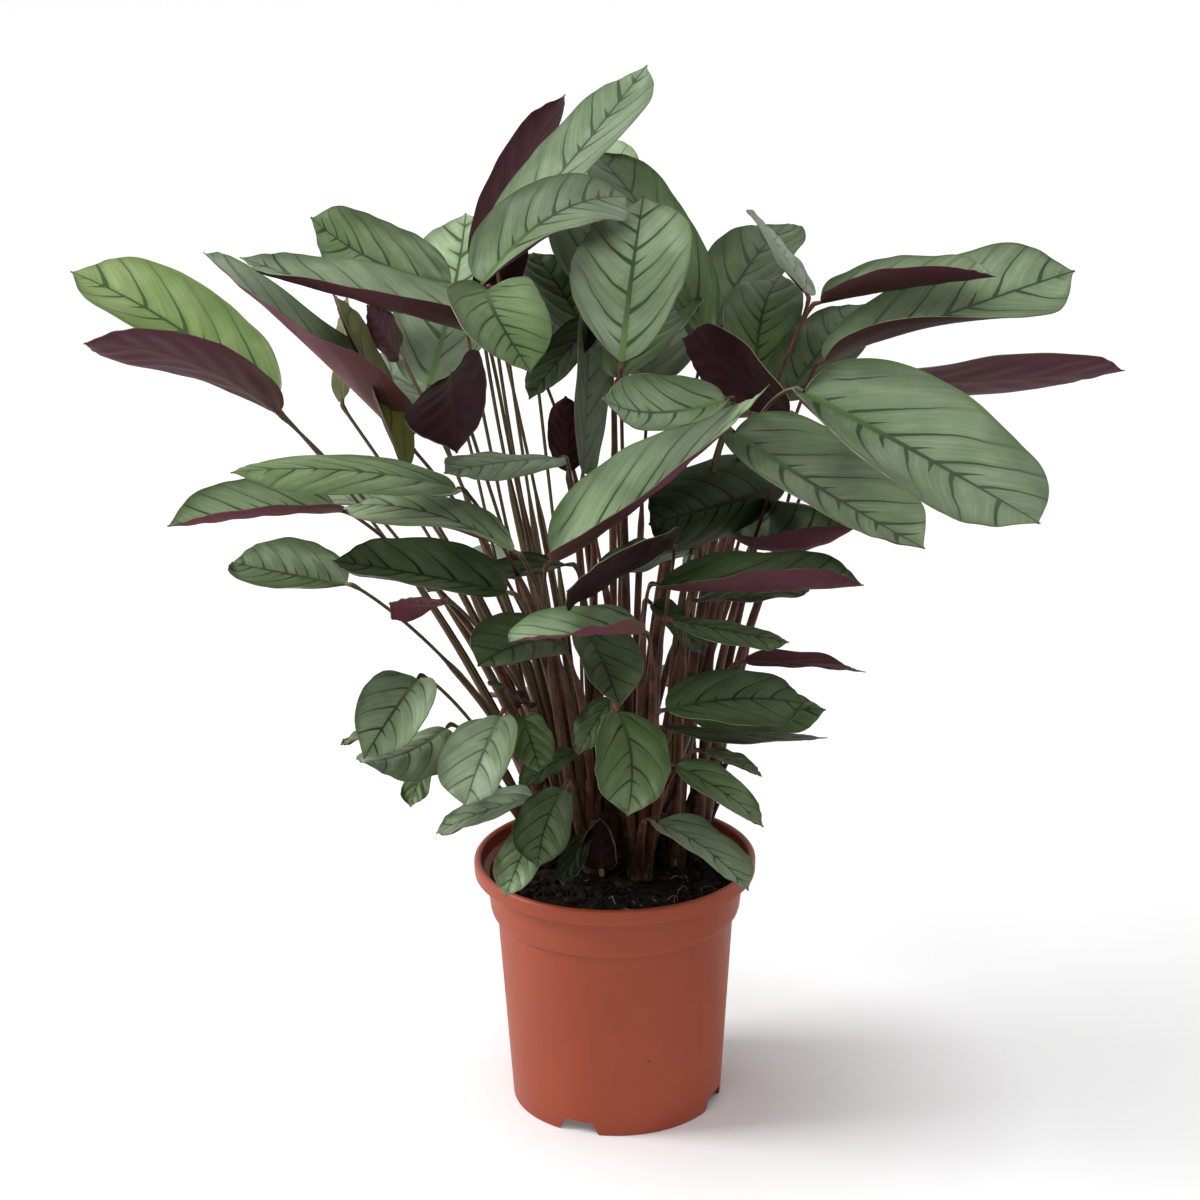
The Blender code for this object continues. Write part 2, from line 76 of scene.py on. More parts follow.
SKY = 0.40
KEY = 34.0
FILL = 20.0
SIDE = 3.0
LIT_POINT = (0.0, 0.0, 0.3)
FLOOR_RADIUS = 14.0
FLOOR_GLOW = 0.34
# Where the painted shade round the pot's foot is deepest, and how far out it fades.
PAINTED_SHADE_MIDDLE = (0.06, -0.02, 0.0)
PAINTED_SHADE_REACH = (0.030, 0.200)
FAR_GLOW = 0.60
FAR_REACH = (0.6, 2.5)
WHITE = (1.0, 1.0, 1.0, 1.0)
FLOOR_WHITE = (0.86, 0.86, 0.86, 1.0)


def make_node(tree, kind, **values):
    """Add a shader node and set its properties."""
    made = tree.nodes.new(kind)
    for name, value in values.items():
        setattr(made, name, value)
    return made


def feed(tree, source, target):
    """Feed a socket with another socket, or with a plain value."""
    if isinstance(source, bpy.types.NodeSocket):
        tree.links.new(source, target)
    else:
        target.default_value = source


def calculate(tree, operation, first, second=0.0, third=0.0):
    """Combine values, and return the socket of the result."""
    made = make_node(tree, "ShaderNodeMath", operation=operation)
    feed(tree, first, made.inputs[0])
    feed(tree, second, made.inputs[1])
    feed(tree, third, made.inputs[2])
    return made.outputs[0]


def ramp_between(tree, value, low, high, low_value=0.0, high_value=1.0, kind="SMOOTHSTEP"):
    """Return a step from one value to another between two limits."""
    step = make_node(tree, "ShaderNodeMapRange", interpolation_type=kind)
    feed(tree, value, step.inputs["Value"])
    feed(tree, low, step.inputs["From Min"])
    feed(tree, high, step.inputs["From Max"])
    feed(tree, low_value, step.inputs["To Min"])
    feed(tree, high_value, step.inputs["To Max"])
    return step.outputs["Result"]


def new_material(name):
    """Return a material and its tree, shader and object coordinates."""
    material = bpy.data.materials.new(name)
    material.use_nodes = True
    tree = material.node_tree
    place = make_node(tree, "ShaderNodeTexCoord").outputs["Object"]
    return material, tree, tree.nodes["Principled BSDF"], place


def coat(tree, shader, tint, roughness, sheen=0.5):
    """Give a shader its colour, its roughness and the strength of its sheen."""
    feed(tree, tint, shader.inputs["Base Color"])
    feed(tree, roughness, shader.inputs["Roughness"])
    feed(tree, sheen, shader.inputs["Specular IOR Level"])


def add_softbox(name, place, size, power):
    """A square lamp that points at the plant."""
    lamp_data = bpy.data.lights.new(name, "AREA")
    lamp_data.size = size
    lamp_data.energy = power
    lamp = bpy.data.objects.new(name, lamp_data)
    bpy.context.scene.collection.objects.link(lamp)
    lamp.location = place
    lamp.rotation_euler = (Vector(LIT_POINT) - Vector(place)).to_track_quat("-Z", "Y").to_euler()


add_softbox("key_lamp", (-1.75, -0.08, 1.35), 0.8, KEY)
add_softbox("fill_lamp", (-0.2, -1.5, 2.3), 1.6, FILL)
add_softbox("side_lamp", (1.5, 0.60, 0.60), 1.0, SIDE)

world = bpy.data.worlds.new("studio")
bpy.context.scene.world = world
world.use_nodes = True
sky_tree = world.node_tree
sky_tree.nodes.clear()
sky_rays = make_node(sky_tree, "ShaderNodeLightPath").outputs
sky_shader = make_node(sky_tree, "ShaderNodeBackground")
sky_output = make_node(sky_tree, "ShaderNodeOutputWorld")
sky_seen = calculate(sky_tree, "MAXIMUM", sky_rays["Is Camera Ray"], sky_rays["Is Glossy Ray"])
sky_seen = calculate(sky_tree, "MAXIMUM", sky_seen, sky_rays["Is Transmission Ray"])
sky_strength = ramp_between(sky_tree, sky_seen, 0.0, 1.0, SKY, 1.0, "LINEAR")
feed(sky_tree, WHITE, sky_shader.inputs["Color"])
feed(sky_tree, sky_strength, sky_shader.inputs["Strength"])
feed(sky_tree, sky_shader.outputs[0], sky_output.inputs["Surface"])

bpy.ops.mesh.primitive_circle_add(
    vertices=64, radius=FLOOR_RADIUS, fill_type="NGON", location=(0.0, 0.0, 0.0))
floor = bpy.context.object
floor.name = "floor"
floor_paint, floor_tree, floor_shader, floor_place = new_material("floor_paint")
coat(floor_tree, floor_shader, FLOOR_WHITE, 0.9)
floor_rays = make_node(floor_tree, "ShaderNodeLightPath").outputs
floor_away = make_node(floor_tree, "ShaderNodeVectorMath", operation="DISTANCE")
feed(floor_tree, floor_place, floor_away.inputs[0])
feed(floor_tree, PAINTED_SHADE_MIDDLE, floor_away.inputs[1])
distance = floor_away.outputs["Value"]
# Painted shade: the floor's glow fades to nothing round the pot, deepest just right of its middle.
glow_with_painted_shade = ramp_between(floor_tree, distance, *PAINTED_SHADE_REACH, 0.0, FLOOR_GLOW, "LINEAR")
far_glow = ramp_between(floor_tree, distance, *FAR_REACH, 0.0, FAR_GLOW - FLOOR_GLOW, "LINEAR")
floor_glow = calculate(floor_tree, "ADD", glow_with_painted_shade, far_glow)
floor_glow = calculate(floor_tree, "MULTIPLY", floor_rays["Is Camera Ray"], floor_glow)
feed(floor_tree, WHITE, floor_shader.inputs["Emission Color"])
feed(floor_tree, floor_glow, floor_shader.inputs["Emission Strength"])
floor.data.materials.append(floor_paint)


# Pot ---------------------------------------------------------------------------------------
# A thin nursery pot, injection moulded in terracotta-coloured plastic, with a rolled lip and a
# stacking collar. Water leaves through holes in its raised floor and notches in its foot.

POT_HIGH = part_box("pot")[1]
POT_HEIGHT = POT_HIGH[2]
LIP_RADIUS = POT_HIGH[0]
LIP_HEIGHT = 0.0095
COLLAR_RADIUS = 0.0776
COLLAR_BASE = POT_HEIGHT - 0.0355
BODY_RADIUS = 0.0714
FOOT_RADIUS = 0.064
WALL = 0.0018
FOOT_LIFT = 0.0088
FLOOR_TOP = FOOT_LIFT + WALL
PAD_RADIUS = 0.015
NOTCH_ANGLES = (-112.0, -22.0, 68.0, 158.0)
NOTCH_LOW_RADIUS = 0.0240
NOTCH_HIGH_RADIUS = 0.0125
NOTCH_DEPTH = 0.0164
DRAIN_RING = 0.043
DRAIN_RADIUS = 0.005
DRAIN_COUNT = 8
LIP_BASE = POT_HEIGHT - LIP_HEIGHT

TERRACOTTA = (0.345, 0.060, 0.022, 1.0)
TERRACOTTA_PALE = (0.370, 0.069, 0.027, 1.0)
TERRACOTTA_DEEP = (0.270, 0.041, 0.015, 1.0)
SPECK_BROWN = (0.10, 0.035, 0.02, 1.0)


def ring_point(radius, degrees, height=0.0):
    """Return the point at a radius and an angle round the pot's axis."""
    angle = math.radians(degrees)
    return Vector((radius * math.cos(angle), radius * math.sin(angle), height))


def select_only(pieces):
    """Select some pieces and nothing else, and make the first one active."""
    bpy.ops.object.select_all(action="DESELECT")
    for piece in pieces:
        piece.select_set(True)
    bpy.context.view_layer.objects.active = pieces[0]


def finish_mesh(piece, angle=30.0):
    """Point the faces outwards, smooth them, and let the piece ride on the pot."""
    select_only([piece])
    bpy.ops.object.transform_apply(location=True, rotation=True, scale=True)
    bpy.ops.object.mode_set(mode="EDIT")
    bpy.ops.mesh.select_all(action="SELECT")
    bpy.ops.mesh.normals_make_consistent(inside=False)
    bpy.ops.object.mode_set(mode="OBJECT")
    bpy.ops.object.shade_smooth_by_angle(angle=math.radians(angle))
    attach(piece, "root")


def apply_modifiers(piece):
    """Apply all the modifiers of a piece, first to last."""
    select_only([piece])
    for modifier in list(piece.modifiers):
        bpy.ops.object.modifier_apply(modifier=modifier.name)


def extrude_rings(rings):
    """Extrude the selected ring through (radius, height) rings, from the one it stands on."""
    radius, height = rings[0]
    for next_radius, next_height in rings[1:]:
        bpy.ops.mesh.extrude_region_move(
            TRANSFORM_OT_translate={"value": (0.0, 0.0, next_height - height)})
        bpy.ops.transform.resize(
            value=(next_radius / radius, next_radius / radius, 1.0), center_override=(0.0, 0.0, 0.0))
        radius, height = next_radius, next_height


def arc_rings(middle, radius, start, end, steps):
    """Return (radius, height) points on an arc, for a rounded edge."""
    points = []
    for step in range(steps + 1):
        angle = math.radians(start + (end - start) * step / steps)
        points.append((middle[0] + radius * math.cos(angle), middle[1] + radius * math.sin(angle)))
    return points


def turned_piece(name, rings, sides):
    """A disc that is extruded through a profile of (radius, height) rings, as on a lathe."""
    bpy.ops.mesh.primitive_circle_add(
        vertices=sides, radius=rings[0][0], fill_type="NGON", location=(0.0, 0.0, rings[0][1]))
    piece = bpy.context.object
    piece.name = name
    bpy.ops.object.transform_apply(location=True)
    bpy.ops.object.mode_set(mode="EDIT")
    bpy.ops.mesh.select_all(action="SELECT")
    extrude_rings(rings)
    bpy.ops.object.mode_set(mode="OBJECT")
    return piece


def subtract(piece, cutter):
    """Cut a piece with another one, which is then removed."""
    cut = piece.modifiers.new("cut", "BOOLEAN")
    cut.operation = "DIFFERENCE"
    cut.solver = "EXACT"
    cut.object = cutter
    apply_modifiers(piece)
    bpy.data.objects.remove(cutter)


def mix_colors(tree, factor, first, second):
    """Mix two colours, and return the socket of the result."""
    mixer = make_node(tree, "ShaderNodeMix", data_type="RGBA")
    feed(tree, factor, mixer.inputs[0])
    feed(tree, first, mixer.inputs[6])
    feed(tree, second, mixer.inputs[7])
    return mixer.outputs[2]


def add_noise(tree, place, scale, detail=3.0, roughness=0.5):
    """Return the value of a noise that reads a place."""
    texture = make_node(tree, "ShaderNodeTexNoise")
    feed(tree, place, texture.inputs["Vector"])
    feed(tree, scale, texture.inputs["Scale"])
    feed(tree, detail, texture.inputs["Detail"])
    feed(tree, roughness, texture.inputs["Roughness"])
    return texture.outputs["Fac"]


def split_vector(tree, vector):
    """Return the X, Y and Z sockets of a vector."""
    parts = make_node(tree, "ShaderNodeSeparateXYZ")
    feed(tree, vector, parts.inputs["Vector"])
    return parts.outputs["X"], parts.outputs["Y"], parts.outputs["Z"]


def add_bump(tree, shader, height, strength, distance):
    """Feed a height to the shader as a bump."""
    bump = make_node(tree, "ShaderNodeBump")
    feed(tree, strength, bump.inputs["Strength"])
    feed(tree, distance, bump.inputs["Distance"])
    feed(tree, height, bump.inputs["Height"])
    feed(tree, bump.outputs["Normal"], shader.inputs["Normal"])


def moulded_plastic():
    """Satin plastic: cloudy colour, faint scuffs that run down, specks, and a deeper foot."""
    material, tree, shader, place = new_material("terracotta_plastic")
    cloud = add_noise(tree, place, 14.0, 4.0, 0.55)
    stretch = make_node(tree, "ShaderNodeMapping")
    feed(tree, place, stretch.inputs["Vector"])
    stretch.inputs["Scale"].default_value = (1.0, 1.0, 0.06)
    draw_marks = add_noise(tree, stretch.outputs["Vector"], 160.0, 3.0, 0.6)
    grains = add_noise(tree, place, 900.0, 2.0, 0.5)
    specks = make_node(tree, "ShaderNodeTexVoronoi")
    feed(tree, place, specks.inputs["Vector"])
    feed(tree, 55.0, specks.inputs["Scale"])
    speck = ramp_between(tree, specks.outputs["Distance"], 0.035, 0.055, 1.0, 0.0)
    scattered = ramp_between(tree, add_noise(tree, place, 23.0, 1.0), 0.60, 0.63)
    tint = mix_colors(tree, ramp_between(tree, cloud, 0.35, 0.65), TERRACOTTA, TERRACOTTA_PALE)
    tint = mix_colors(tree, ramp_between(tree, draw_marks, 0.55, 0.80, 0.0, 0.12), tint, TERRACOTTA_DEEP)
    near_foot = ramp_between(tree, split_vector(tree, place)[2], 0.0, 0.02, 0.35, 0.0)
    tint = mix_colors(tree, near_foot, tint, TERRACOTTA_DEEP)
    tint = mix_colors(tree, calculate(tree, "MULTIPLY", speck, scattered), tint, SPECK_BROWN)
    coat(tree, shader, tint, ramp_between(tree, cloud, 0.3, 0.7, 0.40, 0.50), 0.35)
    relief = calculate(tree, "ADD", calculate(tree, "MULTIPLY", draw_marks, 0.4), grains)
    add_bump(tree, shader, relief, 0.10, 0.0004)
    return material


pot_rings = [(PAD_RADIUS, 0.0), (PAD_RADIUS + 0.002, FOOT_LIFT), (FOOT_RADIUS - WALL, FOOT_LIFT)]
pot_rings += [(FOOT_RADIUS - WALL + 0.0004, 0.0)]
pot_rings += arc_rings((FOOT_RADIUS - 0.0008, 0.0008), 0.0008, -90.0, 0.0, 4)
pot_rings += [(BODY_RADIUS, COLLAR_BASE - 0.0016), (BODY_RADIUS + 0.0002, COLLAR_BASE - 0.0006)]
pot_rings += [(BODY_RADIUS + 0.0010, COLLAR_BASE - 0.0002), (BODY_RADIUS + 0.0022, COLLAR_BASE + 0.0006)]
pot_rings += [(BODY_RADIUS + 0.0032, COLLAR_BASE + 0.0020), (BODY_RADIUS + 0.0040, COLLAR_BASE + 0.0044)]
pot_rings += [(BODY_RADIUS + 0.0044, COLLAR_BASE + 0.0070)]
pot_rings += [(COLLAR_RADIUS - 0.0002, LIP_BASE - 0.0022), (COLLAR_RADIUS + 0.0001, LIP_BASE - 0.0010)]
pot_rings += [(COLLAR_RADIUS + 0.0006, LIP_BASE - 0.0003), (COLLAR_RADIUS + 0.0016, LIP_BASE)]
pot_rings += arc_rings((LIP_RADIUS - 0.0014, LIP_BASE + 0.0012), 0.0012, -90.0, 0.0, 4)
pot_rings += [(LIP_RADIUS - 0.00005, LIP_BASE + 0.0040)]
pot_rings += arc_rings((LIP_RADIUS - 0.0022, POT_HEIGHT - 0.0022), 0.0022, 0.0, 180.0, 14)
pot_rings += [(LIP_RADIUS - 0.0050, LIP_BASE + 0.0040), (COLLAR_RADIUS + 0.0016, LIP_BASE + 0.0016)]
pot_rings += [(COLLAR_RADIUS - WALL, LIP_BASE - 0.0008), (BODY_RADIUS + 0.0020 - WALL, COLLAR_BASE + 0.0038)]
pot_rings += [(BODY_RADIUS - WALL + 0.0002, COLLAR_BASE + 0.0004), (BODY_RADIUS - WALL, COLLAR_BASE - 0.0034)]
pot_rings += [(FOOT_RADIUS - WALL + 0.0006, FLOOR_TOP + 0.0020), (FOOT_RADIUS - WALL - 0.0012, FLOOR_TOP)]
pot = turned_piece("nursery_pot", pot_rings, 144)

for index in range(DRAIN_COUNT):
    bpy.ops.mesh.primitive_cylinder_add(
        vertices=24, radius=DRAIN_RADIUS, depth=6 * WALL,
        location=ring_point(DRAIN_RING, 360.0 * (index + 0.5) / DRAIN_COUNT, FLOOR_TOP))
    subtract(pot, bpy.context.object)
for degrees in NOTCH_ANGLES:
    bpy.ops.mesh.primitive_cone_add(
        vertices=4, radius1=NOTCH_LOW_RADIUS, radius2=NOTCH_HIGH_RADIUS, depth=NOTCH_DEPTH,
        rotation=(0.0, 0.0, math.radians(45.0)))
    bpy.ops.object.transform_apply(location=False, rotation=True, scale=False)
    notch = bpy.context.object
    notch.scale = (0.5, 1.0, 1.0)
    notch.rotation_euler = (0.0, 0.0, math.radians(degrees))
    notch.location = ring_point(FOOT_RADIUS, degrees)
    bpy.ops.object.transform_apply(location=False, rotation=False, scale=True)
    corners = notch.modifiers.new("corners", "BEVEL")
    corners.width = 0.0010
    corners.segments = 3
    apply_modifiers(notch)
    subtract(pot, notch)

finish_mesh(pot)
pot.data.materials.clear()
pot.data.materials.append(moulded_plastic())
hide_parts("pot")


# Soil --------------------------------------------------------------------------------------
# A dark, damp potting mix of peat and bark that fills the pot to below the lip. It is one lumpy
# mass, with crumbs, bark chips and pale root fibres lying on it.

SOIL_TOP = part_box("soil")[1][2]
SOIL_RADIUS = 0.0738
SOIL_BOTTOM = (0.066, 0.100)
RING_STEP = 0.0016
FIBRE_RADIUS = 0.00024
FIBRE_STEPS = 11
FIBRE_REST = 0.0006
FIBRE_ARCH = 0.0016
FIBRE_COUNT = 20
FIBRE_REACH = 0.068

PEAT = (0.0045, 0.0030, 0.0022, 1.0)
PEAT_DRY = (0.026, 0.015, 0.010, 1.0)
BARK = (0.075, 0.036, 0.018, 1.0)
ROOT_FIBRE = (0.40, 0.35, 0.28, 1.0)

shake = random.Random(7)


def soil_height(x, y):
    """Return the height of the lumpy soil surface at a place."""
    place = Vector((x, y, 0.0))
    lumps = noise.noise(place * 70.0) * 0.0022 + noise.noise(place * 230.0) * 0.0019
    crumbs = noise.noise(place * 620.0) * 0.0010
    edge = max(0.0, math.hypot(x, y) - (SOIL_RADIUS - 0.008)) / 0.008
    return SOIL_TOP - 0.0008 - 0.0022 * edge * edge + lumps + crumbs


def soil_material(name, dark, pale, scale):
    """Rough earth: dark and dry patches with a grainy surface."""
    material, tree, shader, place = new_material(name)
    patches = ramp_between(tree, add_noise(tree, place, scale, 5.0, 0.65), 0.42, 0.66)
    grain = add_noise(tree, place, scale * 5.0, 4.0, 0.7)
    tint = mix_colors(tree, patches, dark, pale)
    tint = mix_colors(tree, ramp_between(tree, grain, 0.35, 0.6, 0.6, 0.0), tint, dark)
    coat(tree, shader, tint, ramp_between(tree, patches, 0.0, 1.0, 0.72, 0.95), 0.12)
    add_bump(tree, shader, grain, 0.8, 0.0008)
    return material


soil_rings = [SOIL_BOTTOM, (SOIL_RADIUS - 0.0010, SOIL_TOP - 0.006), (SOIL_RADIUS, SOIL_TOP - 0.003)]
ring_radius = SOIL_RADIUS - RING_STEP
while ring_radius > RING_STEP:
    soil_rings.append((ring_radius, SOIL_TOP))
    ring_radius -= RING_STEP
soil = turned_piece("soil_mass", soil_rings, 160)
for vertex in soil.data.vertices:
    if vertex.co.z > SOIL_TOP - 0.0001:
        vertex.co.z = soil_height(vertex.co.x, vertex.co.y)
finish_mesh(soil, 60.0)
soil.data.materials.append(soil_material("peat", PEAT, PEAT_DRY, 120.0))
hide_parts("soil")


def join_pieces(pieces, name):
    """Join pieces into one mesh, under a name of its own."""
    select_only(pieces)
    if pieces[0].type == "CURVE":
        bpy.ops.object.convert(target="MESH")
    bpy.ops.object.join()
    joined = bpy.context.object
    joined.name = name
    return joined


def scatter_bits(name, count, sizes, flatness, material):
    """Copies of a small rough lump, strewn over the soil and turned every way."""
    bpy.ops.mesh.primitive_ico_sphere_add(subdivisions=1, radius=1.0)
    lump = bpy.context.object
    shapes = []
    for number in range(count):
        radius = (SOIL_RADIUS - 0.004) * math.sqrt(shake.random())
        spot = ring_point(radius, shake.uniform(0.0, 360.0))
        size = shake.uniform(*sizes)
        bit = bpy.data.objects.new(f"{name}_{number}", lump.data.copy())
        bpy.context.scene.collection.objects.link(bit)
        turn = Matrix.Rotation(shake.uniform(0.0, math.tau), 4, "Z")
        tip = Matrix.Rotation(shake.gauss(0.0, 0.35), 4, "X")
        stretch = Matrix.Diagonal((size, size * shake.uniform(0.45, 0.9), size * flatness, 1.0))
        rise = soil_height(spot.x, spot.y) + size * flatness * 0.35
        for vertex in bit.data.vertices:
            vertex.co *= shake.uniform(0.75, 1.15)
        bit.data.transform(Matrix.Translation((spot.x, spot.y, rise)) @ turn @ tip @ stretch)
        shapes.append(bit)
    bpy.data.objects.remove(lump)
    strewn = join_pieces(shapes, name)
    finish_mesh(strewn, 50.0)
    strewn.data.materials.append(material)


scatter_bits("peat_crumbs", 900, (0.0006, 0.0021), 0.8, soil_material("crumb", PEAT, PEAT_DRY, 420.0))
scatter_bits("bark_chips", 80, (0.0014, 0.0038), 0.32, soil_material("bark", PEAT_DRY, BARK, 300.0))


def fibre_material():
    """A pale dried root: straw-coloured, darker where soil clings to it."""
    material, tree, shader, place = new_material("root_fibre")
    cling = add_noise(tree, place, 380.0, 3.0)
    tint = mix_colors(tree, ramp_between(tree, cling, 0.4, 0.65), ROOT_FIBRE, BARK)
    coat(tree, shader, tint, 0.8)
    add_bump(tree, shader, cling, 0.5, 0.0003)
    return material


def add_tube(name, thickness, resolution, points):
    """A closed tube, as a curve, through places that each have a share of its thickness."""
    curve = bpy.data.curves.new(name, "CURVE")
    curve.dimensions = "3D"
    curve.bevel_depth = thickness
    curve.bevel_resolution = resolution
    curve.use_fill_caps = True
    spline = curve.splines.new("POLY")
    spline.points.add(len(points) - 1)
    for point, (place, share) in zip(spline.points, points):
        point.co = (*place, 1.0)
        point.radius = share
    tube = bpy.data.objects.new(name, curve)
    bpy.context.scene.collection.objects.link(tube)
    return tube


def lay_fibres(name, places, material):
    """Thin curled threads that lie on the soil, each from a place, a heading and a length."""
    threads = []
    for x, y, heading, length in places:
        place = Vector((x, y, 0.0))
        curl = shake.uniform(-14.0, 14.0)
        points = []
        for step in range(FIBRE_STEPS + 1):
            arch = FIBRE_ARCH * math.sin(math.pi * step / FIBRE_STEPS)
            height = soil_height(place.x, place.y) + FIBRE_REST + arch
            points.append(((place.x, place.y, height), 1.0 - 0.05 * step))
            heading += curl + shake.uniform(-12.0, 12.0)
            place += ring_point(length / FIBRE_STEPS, heading)
        threads.append(add_tube(name, FIBRE_RADIUS, 1, points))
    strewn = join_pieces(threads, name)
    finish_mesh(strewn, 60.0)
    strewn.data.materials.append(material)


fibre_places = [
    (0.040, -0.052, 150, 0.016), (-0.012, -0.062, 40, 0.007), (0.002, -0.062, 70, 0.006),
    (0.016, -0.040, 200, 0.016), (-0.004, -0.030, 330, 0.009),
]
for number in range(FIBRE_COUNT):
    spot = ring_point(FIBRE_REACH * math.sqrt(shake.random()), shake.uniform(0.0, 360.0))
    fibre_places.append((spot.x, spot.y, shake.uniform(0.0, 360.0), shake.uniform(0.004, 0.012)))
lay_fibres("root_fibres", fibre_places, fibre_material())


# Shoots ------------------------------------------------------------------------------------
# Each shoot is a bundle of reddish-brown leaf stalks that share a crown in the soil, with short
# dead sheaths round it. A stalk is wrapped in a sheath below, thin and greener above, and ends
# in a swollen joint at its blade.

# A leaf's base is where its stalk ends. Heading, rise, roll and cup are in degrees, and droop,
# sway, twist and tip_cup change them towards the tip. Cup is the turn from midrib to margin.
# The bow pushes the middle of the stalk aside. Tone and under name the colours of the
# upper side and the underside; several are lighter or darker copies of one colour, a painted
# light or painted shade for how the blade is lit.
Leaf = namedtuple(
    "Leaf",
    "base heading rise length width droop sway roll twist cup tip_cup bow tone under",
    defaults=(0, 0, 0, 0, 0, 0, (0.0, 0.0, 0.0), "silver", "wine"),
)
# The first leaves of a shoot have solids of their own. The others are small or hidden.
Shoot = namedtuple("Shoot", "root leaves more_leaves")

